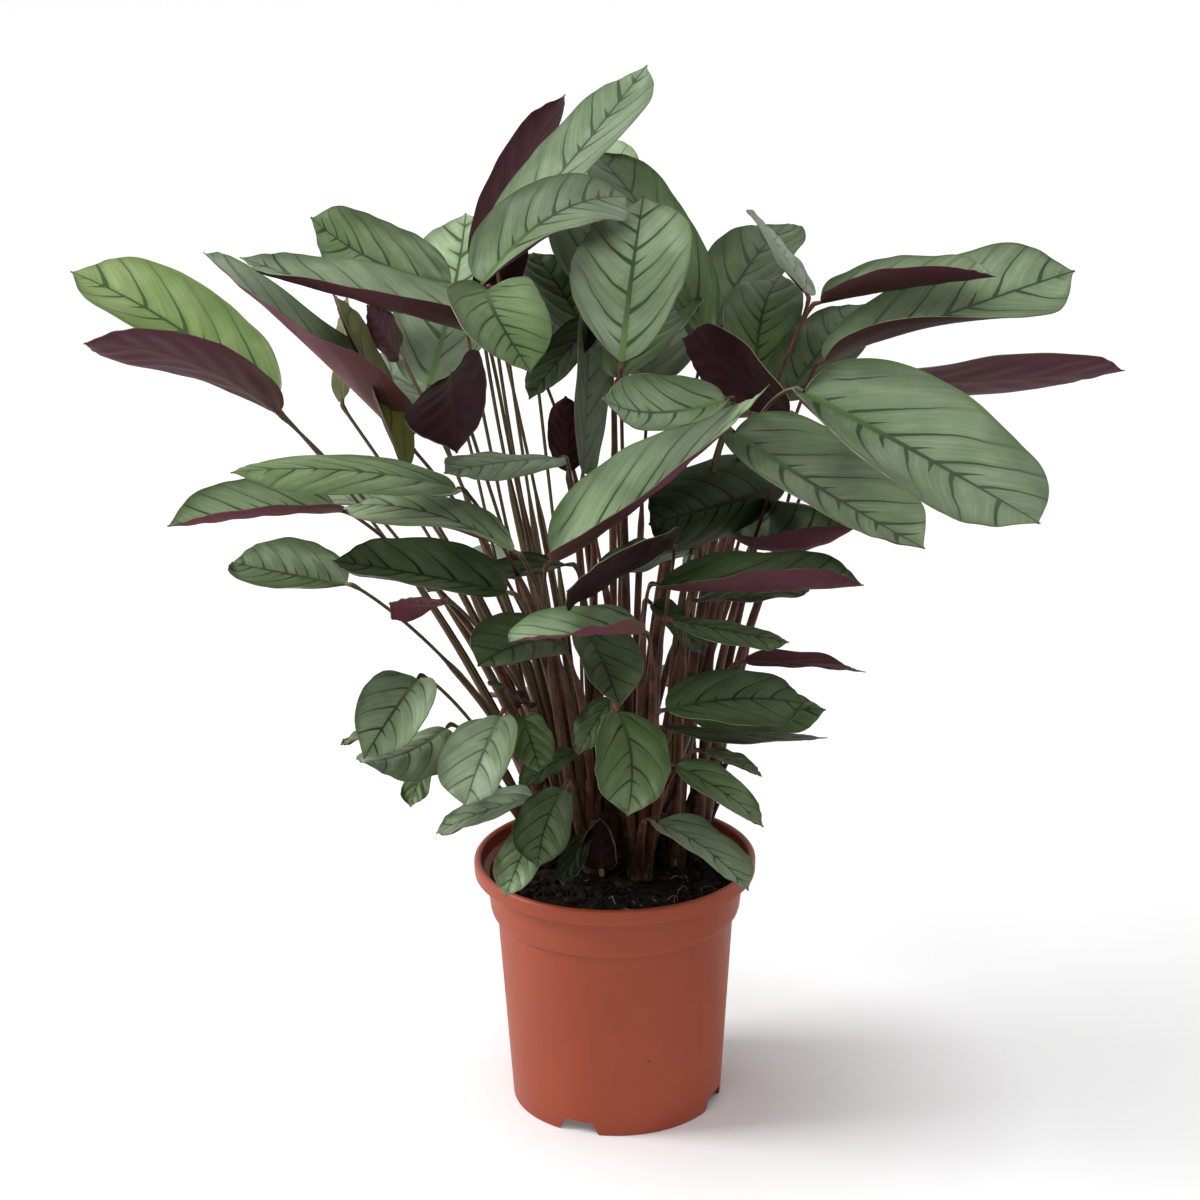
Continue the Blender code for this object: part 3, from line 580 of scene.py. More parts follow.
SHOOTS = {
    "left": Shoot(
        root=(-0.044, 0.026),
        leaves=[
            Leaf(base=(-0.112, -0.052, 0.289), heading=253, rise=-6, length=0.080, width=0.044,
                 droop=18, sway=-6, roll=-8, twist=-28, cup=50, tip_cup=50, bow=(-0.004, 0.008, 0.0),
                 tone="pale"),
            Leaf(base=(-0.097, -0.042, 0.255), heading=243, rise=-6, length=0.085, width=0.044,
                 droop=-22, sway=-6, roll=-10, twist=-6, cup=-30, tip_cup=-40, tone="pale"),
            Leaf(base=(-0.063, -0.112, 0.288), heading=242, rise=-32, length=0.057, width=0.047,
                 droop=22, sway=2, roll=10, twist=-10, cup=25, tip_cup=25, bow=(-0.010, 0.020, 0.0)),
        ],
        more_leaves=[
            Leaf(base=(-0.040, 0.075, 0.225), heading=115, rise=0, length=0.085, width=0.044,
                 droop=30, cup=20, tip_cup=20, bow=(0.002, 0.0, 0.0), under="painted_light_wine"),
            Leaf(base=(-0.047, -0.092, 0.231), heading=163, rise=-18, length=0.065, width=0.030,
                 droop=16, roll=-16, twist=-4, cup=25, tip_cup=15, bow=(-0.006, 0.008, 0.0)),
            Leaf(base=(-0.046, -0.083, 0.207), heading=252, rise=-10, length=0.054, width=0.026,
                 droop=22, roll=-4, twist=-4, cup=20, tip_cup=20, bow=(-0.020, 0.0, 0.0),
                 tone="pale"),
            Leaf(base=(-0.051, -0.095, 0.281), heading=290, rise=-30, length=0.036, width=0.025,
                 droop=20, cup=20, tip_cup=20, tone="deep"),
            Leaf(base=(-0.110, -0.050, 0.235), heading=250, rise=-30, length=0.028, width=0.017,
                 droop=20, cup=20, tip_cup=20, tone="fresh"),
            Leaf(base=(-0.136, -0.060, 0.259), heading=184, rise=-8, length=0.022, width=0.013,
                 droop=20, cup=20, tip_cup=20, tone="deep"),
        ],
    ),
    "left_rear": Shoot(
        root=(-0.034, 0.050),
        leaves=[
            Leaf(base=(-0.195, 0.011, 0.436), heading=156, rise=39, length=0.150, width=0.060,
                 droop=24, roll=-26, cup=55, tip_cup=40, bow=(-0.020, 0.0, 0.0), tone="lime"),
            Leaf(base=(-0.189, -0.024, 0.440), heading=211, rise=43, length=0.130, width=0.052,
                 droop=34, sway=8, roll=18, twist=22, cup=25, tip_cup=5),
            Leaf(base=(-0.150, -0.063, 0.350), heading=143, rise=-3, length=0.092, width=0.042,
                 sway=-4, roll=-26, twist=-6, cup=45, tip_cup=55, bow=(-0.010, 0.0, 0.0),
                 tone="dusk"),
            Leaf(base=(-0.153, -0.050, 0.389), heading=217, rise=15, length=0.110, width=0.042,
                 droop=18, roll=-20, twist=-8, cup=75, tip_cup=100, bow=(0.010, 0.030, 0.0),
                 tone="painted_bright", under="painted_light_wine"),
            Leaf(base=(-0.090, 0.090, 0.400), heading=125, rise=20, length=0.150, width=0.058,
                 droop=30, cup=20, tip_cup=20, bow=(-0.014, 0.008, 0.0)),
            Leaf(base=(-0.115, 0.070, 0.350), heading=150, rise=10, length=0.110, width=0.046,
                 droop=30, cup=20, tip_cup=20),
        ],
        more_leaves=[
            Leaf(base=(-0.060, 0.100, 0.300), heading=120, rise=5, length=0.115, width=0.048,
                 droop=30, cup=20, tip_cup=20, bow=(-0.004, 0.002, 0.0)),
            Leaf(base=(-0.157, 0.039, 0.431), heading=92, rise=37, length=0.096, width=0.028,
                 droop=24, sway=2, roll=-60, twist=-12, tip_cup=-5, bow=(0.0, 0.010, 0.0),
                 tone="olive"),
        ],
    ),
    "left_inner": Shoot(
        root=(-0.024, 0.034),
        leaves=[
            Leaf(base=(-0.117, -0.022, 0.422), heading=204, rise=49, length=0.169, width=0.080,
                 droop=6, sway=14, roll=-6, twist=-12, cup=85, bow=(0.036, -0.006, 0.0),
                 tone="painted_bright", under="painted_light_wine"),
            Leaf(base=(-0.058, -0.118, 0.362), heading=167, rise=10, length=0.102, width=0.046,
                 droop=10, sway=-10, roll=-22, twist=6, cup=50, tip_cup=40, tone="shade"),
            Leaf(base=(-0.084, -0.104, 0.417), heading=214, rise=22, length=0.139, width=0.054,
                 droop=18, roll=-14, twist=8, cup=15, tip_cup=-35, bow=(0.020, 0.0, 0.0),
                 tone="fresh"),
        ],
        more_leaves=[
            Leaf(base=(-0.114, -0.075, 0.420), heading=118, rise=48, length=0.130, width=0.032,
                 droop=20, sway=-4, roll=28, twist=22, cup=60, tip_cup=40, bow=(-0.004, -0.014, 0.0),
                 tone="olive"),
            Leaf(base=(-0.123, 0.047, 0.455), heading=118, rise=21, length=0.061, width=0.024,
                 droop=6, sway=-10, roll=106, twist=14, cup=15, tip_cup=20, under="dark"),
            Leaf(base=(-0.093, -0.093, 0.348), heading=230, rise=9, length=0.047, width=0.024,
                 droop=-12, sway=4, roll=32, twist=18, cup=-10, tip_cup=-45, under="painted_light_wine"),
            Leaf(base=(-0.048, -0.060, 0.274), heading=222, rise=45, length=0.036, width=0.024,
                 droop=20, cup=20, tip_cup=20, tone="shade", under="dark"),
            Leaf(base=(-0.081, 0.010, 0.340), heading=240, rise=4, length=0.050, width=0.034,
                 droop=20, cup=20, tip_cup=20, tone="shade"),
        ],
    ),
    "rear_left": Shoot(
        root=(-0.012, 0.056),
        leaves=[
            Leaf(base=(-0.092, 0.037, 0.499), heading=139, rise=0, length=0.132, width=0.050,
                 droop=-20, sway=-12, roll=-70, twist=-14, cup=5, bow=(-0.035, -0.010, 0.0),
                 tone="dusk"),
            Leaf(base=(-0.107, 0.060, 0.434), heading=77, rise=33, length=0.166, width=0.070,
                 droop=12, sway=12, roll=-8, twist=-2, cup=10, tip_cup=10, bow=(-0.024, 0.0, 0.0),
                 tone="painted_bright"),
            Leaf(base=(-0.074, 0.097, 0.496), heading=66, rise=51, length=0.138, width=0.048,
                 droop=20, sway=-8, roll=158, cup=-10, tip_cup=-30, bow=(0.040, 0.020, 0.110),
                 tone="shade", under="dark"),
            Leaf(base=(-0.062, 0.032, 0.526), heading=56, rise=24, length=0.170, width=0.070,
                 droop=-10, sway=-4, roll=-22, twist=16, cup=15, tip_cup=15,
                 bow=(-0.020, 0.002, 0.0)),
            Leaf(base=(-0.010, 0.115, 0.480), heading=88, rise=45, length=0.150, width=0.060,
                 droop=30, cup=20, tip_cup=20, tone="painted_bright"),
            Leaf(base=(-0.045, 0.115, 0.430), heading=100, rise=30, length=0.155, width=0.060,
                 droop=30, cup=20, tip_cup=20, bow=(-0.010, 0.0, 0.0)),
        ],
        more_leaves=[
            Leaf(base=(-0.028, -0.096, 0.431), heading=228, rise=11, length=0.091, width=0.036,
                 droop=8, sway=2, twist=-18, tip_cup=-5, bow=(0.0, 0.020, 0.0)),
            Leaf(base=(-0.065, 0.045, 0.483), heading=300, rise=76, length=0.056, width=0.036,
                 droop=10, cup=20, tip_cup=20, tone="shade", under="dark"),
            Leaf(base=(-0.012, 0.090, 0.453), heading=120, rise=42, length=0.080, width=0.046,
                 droop=20, cup=20, tip_cup=20, tone="deep"),
        ],
    ),
    "middle": Shoot(
        root=(0.000, 0.038),
        leaves=[
            Leaf(base=(-0.072, -0.076, 0.496), heading=177, rise=16, length=0.138, width=0.064,
                 sway=-16, roll=2, twist=-4, cup=85, tip_cup=10, bow=(-0.040, 0.0, 0.0)),
            Leaf(base=(-0.069, -0.047, 0.518), heading=50, rise=38, length=0.132, width=0.056,
                 droop=50, roll=-8, twist=44, cup=50, bow=(-0.045, 0.040, 0.0)),
            Leaf(base=(-0.066, -0.062, 0.518), heading=268, rise=0, length=0.084, width=0.052,
                 droop=44, sway=44, roll=6, twist=-4, cup=45, tip_cup=20, bow=(-0.045, 0.045, 0.0),
                 tone="deep"),
            Leaf(base=(-0.085, -0.101, 0.479), heading=271, rise=3, length=0.087, width=0.052,
                 droop=34, sway=6, roll=-136, twist=-28, cup=-25, tip_cup=-45,
                 bow=(-0.035, -0.010, 0.0), tone="deep", under="painted_shade_black"),
            Leaf(base=(-0.016, -0.022, 0.402), heading=85, rise=48, length=0.145, width=0.048,
                 droop=32, sway=6, roll=72, twist=-10, cup=10, tip_cup=25, bow=(0.020, 0.0, 0.0),
                 tone="dusk"),
        ],
        more_leaves=[
            Leaf(base=(0.000, 0.105, 0.340), heading=90, rise=5, length=0.130, width=0.054, droop=30,
                 cup=20, tip_cup=20),
            Leaf(base=(-0.003, 0.070, 0.472), heading=222, rise=-24, length=0.072, width=0.036,
                 droop=20, cup=20, tip_cup=20, tone="night"),
            Leaf(base=(-0.025, 0.010, 0.394), heading=262, rise=82, length=0.046, width=0.023,
                 droop=-6, cup=20, tip_cup=20, tone="shade", under="dark"),
            Leaf(base=(-0.026, -0.035, 0.351), heading=204, rise=6, length=0.056, width=0.036,
                 droop=20, cup=20, tip_cup=20, tone="night", under="dark"),
        ],
    ),
    "rear": Shoot(
        root=(0.010, 0.058),
        leaves=[
            Leaf(base=(0.006, -0.072, 0.478), heading=85, rise=25, length=0.159, width=0.070,
                 droop=2, sway=-2, roll=4, twist=-16, cup=70, tip_cup=-10, tone="pale"),
            Leaf(base=(0.057, 0.055, 0.464), heading=126, rise=56, length=0.164, width=0.060,
                 droop=44, sway=-12, roll=20, twist=-16, cup=10, tip_cup=25,
                 bow=(-0.002, -0.002, 0.0), tone="deep"),
            Leaf(base=(0.025, 0.115, 0.420), heading=80, rise=25, length=0.150, width=0.060,
                 droop=30, cup=20, tip_cup=20, tone="deep"),
        ],
        more_leaves=[
            Leaf(base=(0.060, 0.130, 0.440), heading=65, rise=35, length=0.150, width=0.060,
                 droop=30, cup=20, tip_cup=20, bow=(0.0, 0.010, 0.0), tone="dusk"),
            Leaf(base=(0.055, 0.100, 0.300), heading=65, rise=5, length=0.110, width=0.048, droop=30,
                 cup=20, tip_cup=20),
            Leaf(base=(0.005, -0.017, 0.456), heading=66, rise=27, length=0.108, width=0.046,
                 droop=28, sway=-2, roll=-2, twist=-6, cup=20, tip_cup=25, bow=(-0.002, 0.004, 0.0),
                 tone="dusk"),
        ],
    ),
    "front_left": Shoot(
        root=(-0.014, 0.014),
        leaves=[
            Leaf(base=(-0.032, -0.113, 0.378), heading=352, rise=35, length=0.155, width=0.080,
                 droop=-12, sway=-4, roll=22, twist=-26, cup=85, tip_cup=-15,
                 bow=(-0.020, -0.012, 0.0), tone="painted_bright", under="painted_light_wine"),
            Leaf(base=(-0.029, -0.104, 0.241), heading=230, rise=-36, length=0.049, width=0.036,
                 droop=14, sway=34, roll=8, twist=-10, cup=25, tip_cup=30, bow=(-0.014, -0.006, 0.0),
                 tone="shade"),
            Leaf(base=(-0.053, -0.136, 0.391), heading=172, rise=34, length=0.103, width=0.042,
                 droop=50, sway=-22, twist=-12, cup=35, tip_cup=-25, tone="painted_bright"),
        ],
        more_leaves=[
            Leaf(base=(-0.014, -0.059, 0.198), heading=249, rise=-6, length=0.051, width=0.020,
                 droop=24, sway=4, roll=32, twist=-12, cup=25, tip_cup=10, tone="night"),
            Leaf(base=(-0.032, -0.124, 0.336), heading=235, rise=18, length=0.075, width=0.042,
                 droop=24, sway=6, roll=-34, twist=14, cup=30, tip_cup=40, bow=(0.008, 0.004, 0.0),
                 tone="shade"),
            Leaf(base=(-0.016, -0.086, 0.332), heading=285, rise=-8, length=0.081, width=0.044,
                 droop=14, sway=-2, roll=-24, twist=26, cup=60, tip_cup=55, bow=(-0.004, 0.004, 0.0),
                 tone="dusk"),
            Leaf(base=(-0.023, -0.060, 0.246), heading=212, rise=-12, length=0.040, width=0.024,
                 droop=20, cup=20, tip_cup=20, tone="shade"),
            Leaf(base=(-0.001, -0.085, 0.288), heading=232, rise=-28, length=0.040, width=0.022,
                 droop=20, cup=20, tip_cup=20, tone="dusk"),
            Leaf(base=(-0.008, -0.070, 0.178), heading=262, rise=80, length=0.032, width=0.030,
                 droop=-10, cup=-70, tip_cup=-100, tone="night", under="painted_shade_black"),
        ],
    ),
    "front": Shoot(
        root=(0.015, 0.002),
        leaves=[
            Leaf(base=(0.025, -0.117, 0.365), heading=332, rise=3, length=0.122, width=0.052,
                 droop=-10, sway=-2, roll=12, twist=-18, cup=45, tip_cup=100, bow=(0.0, 0.020, 0.0),
                 tone="dusk"),
            Leaf(base=(0.024, -0.087, 0.213), heading=315, rise=1, length=0.075, width=0.038,
                 droop=34, sway=-2, roll=-6, twist=-4, cup=25, tip_cup=30),
            Leaf(base=(0.002, -0.172, 0.312), heading=300, rise=-36, length=0.060, width=0.041,
                 droop=22, sway=-52, roll=-10, twist=10, cup=20, tip_cup=30, bow=(-0.010, 0.0, 0.0),
                 tone="dusk", under="dark"),
            Leaf(base=(0.029, -0.126, 0.296), heading=21, rise=6, length=0.086, width=0.040,
                 droop=26, sway=6, roll=20, twist=26, cup=20, bow=(0.020, 0.0, 0.0), tone="dusk"),
            Leaf(base=(0.033, -0.128, 0.348), heading=332, rise=-2, length=0.068, width=0.028,
                 roll=4, tip_cup=-20, bow=(0.010, 0.0, 0.0), tone="dusk"),
            Leaf(base=(0.014, -0.145, 0.347), heading=220, rise=14, length=0.096, width=0.042,
                 droop=6, sway=8, roll=-12, twist=20, cup=105, tip_cup=10, bow=(0.010, 0.0, 0.0),
                 tone="painted_bright", under="painted_light_wine"),
            Leaf(base=(0.031, -0.114, 0.385), heading=237, rise=7, length=0.107, width=0.054,
                 droop=8, sway=4, roll=40, twist=12, tip_cup=-10, bow=(0.0, 0.002, 0.0),
                 under="dark"),
        ],
        more_leaves=[
            Leaf(base=(0.044, -0.058, 0.267), heading=6, rise=4, length=0.079, width=0.036, droop=10,
                 sway=2, roll=26, twist=-2, cup=-5, tip_cup=-15, tone="deep"),
            Leaf(base=(0.029, -0.089, 0.271), heading=350, rise=-4, length=0.091, width=0.036,
                 droop=-6, sway=2, roll=-10, cup=-5, tip_cup=-5, tone="shade"),
            Leaf(base=(0.035, -0.104, 0.254), heading=346, rise=-21, length=0.060, width=0.030,
                 droop=28, sway=8, roll=22, twist=-12, cup=30, tip_cup=25, bow=(0.014, -0.002, 0.0),
                 tone="deep"),
            Leaf(base=(0.052, -0.060, 0.245), heading=350, rise=-12, length=0.036, width=0.019,
                 droop=20, cup=20, tip_cup=20, tone="deep"),
            Leaf(base=(0.047, -0.020, 0.355), heading=206, rise=2, length=0.064, width=0.042,
                 droop=20, cup=20, tip_cup=20, tone="shade"),
            Leaf(base=(0.023, -0.030, 0.325), heading=328, rise=-26, length=0.042, width=0.028,
                 droop=20, cup=20, tip_cup=20, tone="shade", under="dark"),
        ],
    ),
    "right_front": Shoot(
        root=(0.036, 0.022),
        leaves=[
            Leaf(base=(0.100, -0.151, 0.480), heading=311, rise=-11, length=0.172, width=0.086,
                 sway=-6, roll=16, twist=-14, cup=90, tip_cup=-20, bow=(0.010, 0.080, 0.110)),
            Leaf(base=(0.067, -0.087, 0.442), heading=305, rise=-13, length=0.152, width=0.066,
                 droop=-2, sway=6, roll=16, twist=-10, cup=70, tip_cup=30, bow=(-0.010, 0.020, 0.0),
                 tone="pale"),
            Leaf(base=(0.062, -0.095, 0.462), heading=209, rise=-8, length=0.100, width=0.042,
                 droop=-38, sway=34, roll=-20, twist=-48, cup=70, tip_cup=50,
                 bow=(-0.020, 0.024, 0.030), tone="pale"),
        ],
        more_leaves=[
            Leaf(base=(0.076, -0.049, 0.296), heading=341, rise=10, length=0.071, width=0.026,
                 droop=18, sway=-2, roll=-50, twist=20, cup=10, tip_cup=5, bow=(-0.020, 0.0, 0.0),
                 tone="shade"),
            Leaf(base=(0.048, -0.091, 0.347), heading=20, rise=2, length=0.070, width=0.028, droop=8,
                 sway=4, roll=-4, twist=2, tip_cup=-10, bow=(0.004, -0.004, 0.0), tone="shade"),
        ],
    ),
    "right": Shoot(
        root=(0.050, 0.036),
        leaves=[
            Leaf(base=(0.122, -0.015, 0.464), heading=10, rise=19, length=0.162, width=0.070,
                 droop=10, sway=18, roll=-20, twist=72, cup=68, tip_cup=25, tone="pale"),
            Leaf(base=(0.143, -0.061, 0.461), heading=16, rise=-4, length=0.157, width=0.056,
                 droop=-4, sway=4, roll=-40, twist=4, cup=5, tip_cup=15),
            Leaf(base=(0.098, -0.083, 0.452), heading=126, rise=18, length=0.101, width=0.040,
                 droop=10, sway=-2, roll=60, twist=42, cup=5, tip_cup=10, bow=(-0.008, -0.002, 0.0),
                 under="dark"),
        ],
        more_leaves=[
            Leaf(base=(0.100, -0.024, 0.392), heading=233, rise=5, length=0.128, width=0.062,
                 droop=2, sway=-4, roll=-92, twist=26, cup=-60, tip_cup=-95, bow=(0.010, 0.0, 0.0),
                 tone="night"),
            Leaf(base=(0.077, -0.007, 0.368), heading=293, rise=-5, length=0.125, width=0.062,
                 droop=-36, sway=10, roll=48, cup=110, tip_cup=140, bow=(-0.006, -0.004, 0.0),
                 tone="pale"),
        ],
    ),
    "right_rear": Shoot(
        root=(0.031, 0.050),
        leaves=[
            Leaf(base=(0.087, 0.053, 0.430), heading=89, rise=40, length=0.119, width=0.048,
                 droop=32, sway=-20, roll=32, twist=-36, cup=40, tip_cup=-10, bow=(-0.020, 0.0, 0.0),
                 tone="dusk"),
            Leaf(base=(0.121, 0.006, 0.493), heading=350, rise=13, length=0.100, width=0.052,
                 droop=6, cup=95, tip_cup=60, bow=(-0.008, -0.012, 0.0)),
            Leaf(base=(0.101, 0.012, 0.434), heading=61, rise=25, length=0.128, width=0.052,
                 droop=20, sway=2, roll=2, twist=-4, cup=10, tip_cup=5, bow=(0.010, 0.0, 0.0),
                 tone="shade"),
            Leaf(base=(0.075, 0.105, 0.400), heading=55, rise=15, length=0.145, width=0.058,
                 droop=30, cup=20, tip_cup=20),
            Leaf(base=(0.105, 0.085, 0.360), heading=35, rise=10, length=0.120, width=0.050,
                 droop=30, cup=20, tip_cup=20),
        ],
        more_leaves=[
            Leaf(base=(0.040, 0.075, 0.235), heading=70, rise=0, length=0.085, width=0.044, droop=30,
                 cup=20, tip_cup=20, under="dark"),
            Leaf(base=(0.117, 0.067, 0.485), heading=107, rise=24, length=0.107, width=0.038,
                 droop=16, sway=-6, roll=36, twist=12, cup=5, tip_cup=5, bow=(-0.002, -0.012, 0.0)),
        ],
    ),
}

GAP = 0.0003
STALK_RING = 0.0052
STALK_SEAT = 0.002
TUBE_UNIT = 0.001
CANE_RADIUS = 0.0040
CANE_SPAN = 0.03
SHEATH_RADIUS = 0.0027
SHEATH_TOP_RADIUS = SHEATH_RADIUS * 0.80
SHEATH_ENDS = (0.50, 0.75)
SHEATH_STEP = 0.05
STALK_RADIUS = 0.00105
STALK_POINTS = 44
JOINT_RADIUS = 0.00150
JOINT_LENGTH = 0.010
NECK_LENGTH = 0.011
NECK_END = 0.004
OLD_SHEATHS = 6
OLD_HEIGHTS = (0.022, 0.072)
OLD_OFFSET = 0.0045
OLD_LEAN = 0.30
OLD_RADIUS = 0.0038
OLD_TIP_RADIUS = 0.0014
OLD_STEPS = 6

SHEATH_DARK = (0.052, 0.022, 0.014, 1.0)
SHEATH_RED = (0.200, 0.074, 0.043, 1.0)
STALK_BROWN = (0.130, 0.078, 0.046, 1.0)
STALK_GREEN = (0.135, 0.125, 0.058, 1.0)
JOINT_GREEN = (0.260, 0.290, 0.090, 1.0)
OLD_DARK = (0.022, 0.011, 0.007, 1.0)
OLD_BROWN = (0.085, 0.042, 0.024, 1.0)

growth = random.Random(21)
old_dice = random.Random(21)


def leaf_direction(leaf):
    """Return the direction in which a blade leaves its stalk."""
    level = math.cos(math.radians(leaf.rise))
    return ring_point(level, leaf.heading, math.sin(math.radians(leaf.rise)))


def stalk_path(leaf, root):
    """Return points along a stalk, on a Bezier curve from its crown to its blade."""
    across = Vector((leaf.base[0] - root.x, leaf.base[1] - root.y, 0.0))
    start = root + across.normalized() * STALK_RING + Vector((0.0, 0.0, STALK_SEAT))
    direction = leaf_direction(leaf)
    base = Vector(leaf.base)
    reach = (base - start).length
    neck = base - direction * min(NECK_LENGTH, 0.25 * reach)
    lean = (neck - start).normalized() * 0.3 + Vector((0.0, 0.0, 0.7))
    middle = start + lean.normalized() * 0.45 * reach + Vector(leaf.bow)
    end = base - direction * NECK_END
    return interpolate_bezier(start, middle, neck, end, STALK_POINTS) + [base - direction * GAP]


def stalk_radius(to_go, along, sheath_end, low_radius):
    """Return a stalk's radius: its sheath, a step where the sheath opens, and the end joint."""
    if along < sheath_end:
        return low_radius + (SHEATH_TOP_RADIUS - low_radius) * along / sheath_end
    opening = max(0.0, 1.0 - (along - sheath_end) / SHEATH_STEP)
    radius = STALK_RADIUS + (SHEATH_TOP_RADIUS - STALK_RADIUS) * opening
    if to_go < JOINT_LENGTH:
        swelling = math.sin(math.pi * to_go / JOINT_LENGTH)
        radius = max(radius, STALK_RADIUS + (JOINT_RADIUS - STALK_RADIUS) * swelling)
    return radius


def add_stalk(name, leaf, root, low_radius):
    """A stalk as a curve, with its radius at each point."""
    path = stalk_path(leaf, root)
    lengths = [0.0]
    for first, second in zip(path, path[1:]):
        lengths.append(lengths[-1] + (second - first).length)
    whole = lengths[-1]
    sheath_end = growth.uniform(*SHEATH_ENDS)
    points = []
    for place, length in zip(path, lengths):
        radius = stalk_radius(whole - length, length / whole, sheath_end, low_radius)
        points.append((place, radius / TUBE_UNIT))
    return add_tube(name, TUBE_UNIT, 3, points)


def build_vector(tree, x, y, z):
    """Combine three values into a vector, and return its socket."""
    made = make_node(tree, "ShaderNodeCombineXYZ")
    feed(tree, x, made.inputs["X"])
    feed(tree, y, made.inputs["Y"])
    feed(tree, z, made.inputs["Z"])
    return made.outputs["Vector"]


def tube_ribs(tree, around_count, along_count, drift):
    """Return a noise that is drawn out along a tube, and the place along the tube."""
    tube_map = make_node(tree, "ShaderNodeUVMap", uv_map="UVMap").outputs["UV"]
    around, along = split_vector(tree, tube_map)[:2]
    around_place = calculate(tree, "MULTIPLY", around, around_count)
    along_place = calculate(tree, "MULTIPLY", along, along_count)
    place = build_vector(tree, around_place, along_place, drift)
    return add_noise(tree, place, 1.0, 3.0, 0.6), along


def stalk_material():
    """Stalk skin: fine ribs along it, red-brown sheaths below, greener above, and a green joint."""
    material, tree, shader, place = new_material("stalk_skin")
    mottle = add_noise(tree, place, 45.0, 3.0, 0.6)
    ribs, along = tube_ribs(tree, 22.0, 9.0, calculate(tree, "MULTIPLY", mottle, 2.0))
    shifted = calculate(tree, "ADD", along, calculate(tree, "MULTIPLY", mottle, 0.3))
    tint = mix_colors(tree, ramp_between(tree, mottle, 0.35, 0.65), SHEATH_DARK, SHEATH_RED)
    tint = mix_colors(tree, ramp_between(tree, shifted, 0.72, 0.95), tint, STALK_BROWN)
    tint = mix_colors(tree, ramp_between(tree, shifted, 0.95, 1.12), tint, STALK_GREEN)
    tint = mix_colors(tree, ramp_between(tree, ribs, 0.40, 0.62, 0.55, 0.0), tint, SHEATH_DARK)
    tint = mix_colors(tree, ramp_between(tree, along, 0.955, 0.975), tint, JOINT_GREEN)
    coat(tree, shader, tint, ramp_between(tree, ribs, 0.3, 0.7, 0.38, 0.55), 0.2)
    add_bump(tree, shader, ribs, 0.5, 0.0005)
    return material


def add_old_sheath(name, root):
    """A short, dead sheath that leans out from a crown, as a curve."""
    turn = old_dice.uniform(0.0, math.tau)
    height = old_dice.uniform(*OLD_HEIGHTS)
    outward = Vector((math.cos(turn), math.sin(turn), 0.0))
    points = []
    for step in range(OLD_STEPS + 1):
        along = step / OLD_STEPS
        spread = OLD_OFFSET + height * OLD_LEAN * along * along
        place = root + outward * spread + Vector((0.0, 0.0, height * along))
        radius = OLD_RADIUS + (OLD_TIP_RADIUS - OLD_RADIUS) * along ** 1.5
        points.append((place, radius / TUBE_UNIT))
    return add_tube(name, TUBE_UNIT, 2, points)


def old_sheath_material():
    """Dead sheath: dark brown with paler, fibrous streaks along it."""
    material, tree, shader, place = new_material("old_sheath")
    fibres = tube_ribs(tree, 16.0, 2.0, add_noise(tree, place, 60.0, 2.0))[0]
    tint = mix_colors(tree, ramp_between(tree, fibres, 0.40, 0.68), OLD_DARK, OLD_BROWN)
    coat(tree, shader, tint, ramp_between(tree, fibres, 0.3, 0.7, 0.55, 0.80), 0.2)
    add_bump(tree, shader, fibres, 0.6, 0.0006)
    return material


stalk_skin = stalk_material()
old_skin = old_sheath_material()
for shoot_name, shoot in SHOOTS.items():
    root = Vector((*shoot.root, SOIL_TOP))
    leaves = shoot.leaves + shoot.more_leaves
    tallest = max(leaf.base[2] for leaf in leaves)
    stalks = []
    for number, leaf in enumerate(leaves, 1):
        low_radius = CANE_RADIUS if leaf.base[2] > tallest - CANE_SPAN else SHEATH_RADIUS
        stalks.append(add_stalk(f"stalk_{shoot_name}_{number}", leaf, root, low_radius))
        stalks[-1].data.materials.append(stalk_skin)
    for number in range(OLD_SHEATHS):
        stalks.append(add_old_sheath(f"old_sheath_{shoot_name}_{number}", root))
        stalks[-1].data.materials.append(old_skin)
    canes = join_pieces(stalks, f"canes_{shoot_name}")
    finish_mesh(canes, 40.0)
    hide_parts(f"shoot_{shoot_name}")


# Leaf blades -------------------------------------------------------------------------------
# Thin, satiny blades, silvery green with dark herringbone veins above and burgundy below. Each
# grows from the end of its stalk, is creased along its midrib and pleated along its veins.

BLADE_THICKNESS = 0.00045
LEAST_HALF_WIDTH = 0.0007
TIP_START = 0.70
LONG_STEPS = 64
WIDE_STEPS = 28
YOUNG_HEIGHT = 0.34
SIDE_VEINS = 5.2
YOUNG_SIDE_VEINS = 3.7
VEIN_SWEEP = 0.19
VEIN_CURVE = 0.20
YOUNG_VEIN_CURVE = 0.36
SIDE_OFFSET = 0.45
SEED_SHIFT = 7.3
PLEAT_HEIGHT = 0.00045
EDGE_WAVE = 0.0016
RAGGED_EDGE = 0.035
CREASE_DEPTH = 0.0007
CREASE_WIDTH = 0.0022

# Colours of the upper side: silver, its lighter patches, veins, the midrib's base and the margin.
SILVER = [(0.175, 0.245, 0.126), (0.240, 0.315, 0.190), (0.020, 0.044, 0.013), (0.085, 0.150, 0.036),
          (0.080, 0.135, 0.042)]
FRESH = [(0.188, 0.288, 0.112), (0.262, 0.362, 0.176), (0.024, 0.058, 0.014), (0.130, 0.215, 0.042),
         (0.105, 0.185, 0.040)]
LIME = [(0.205, 0.300, 0.088), (0.295, 0.385, 0.155), (0.036, 0.082, 0.018), (0.140, 0.215, 0.045),
        (0.165, 0.250, 0.060)]
OLIVE = [(0.120, 0.125, 0.030), (0.165, 0.180, 0.060), (0.050, 0.060, 0.012), (0.150, 0.150, 0.035),
         (0.090, 0.095, 0.025)]
DEEP = [(0.118, 0.188, 0.062), (0.165, 0.242, 0.102), (0.014, 0.034, 0.008), (0.066, 0.116, 0.024),
        (0.060, 0.104, 0.026)]
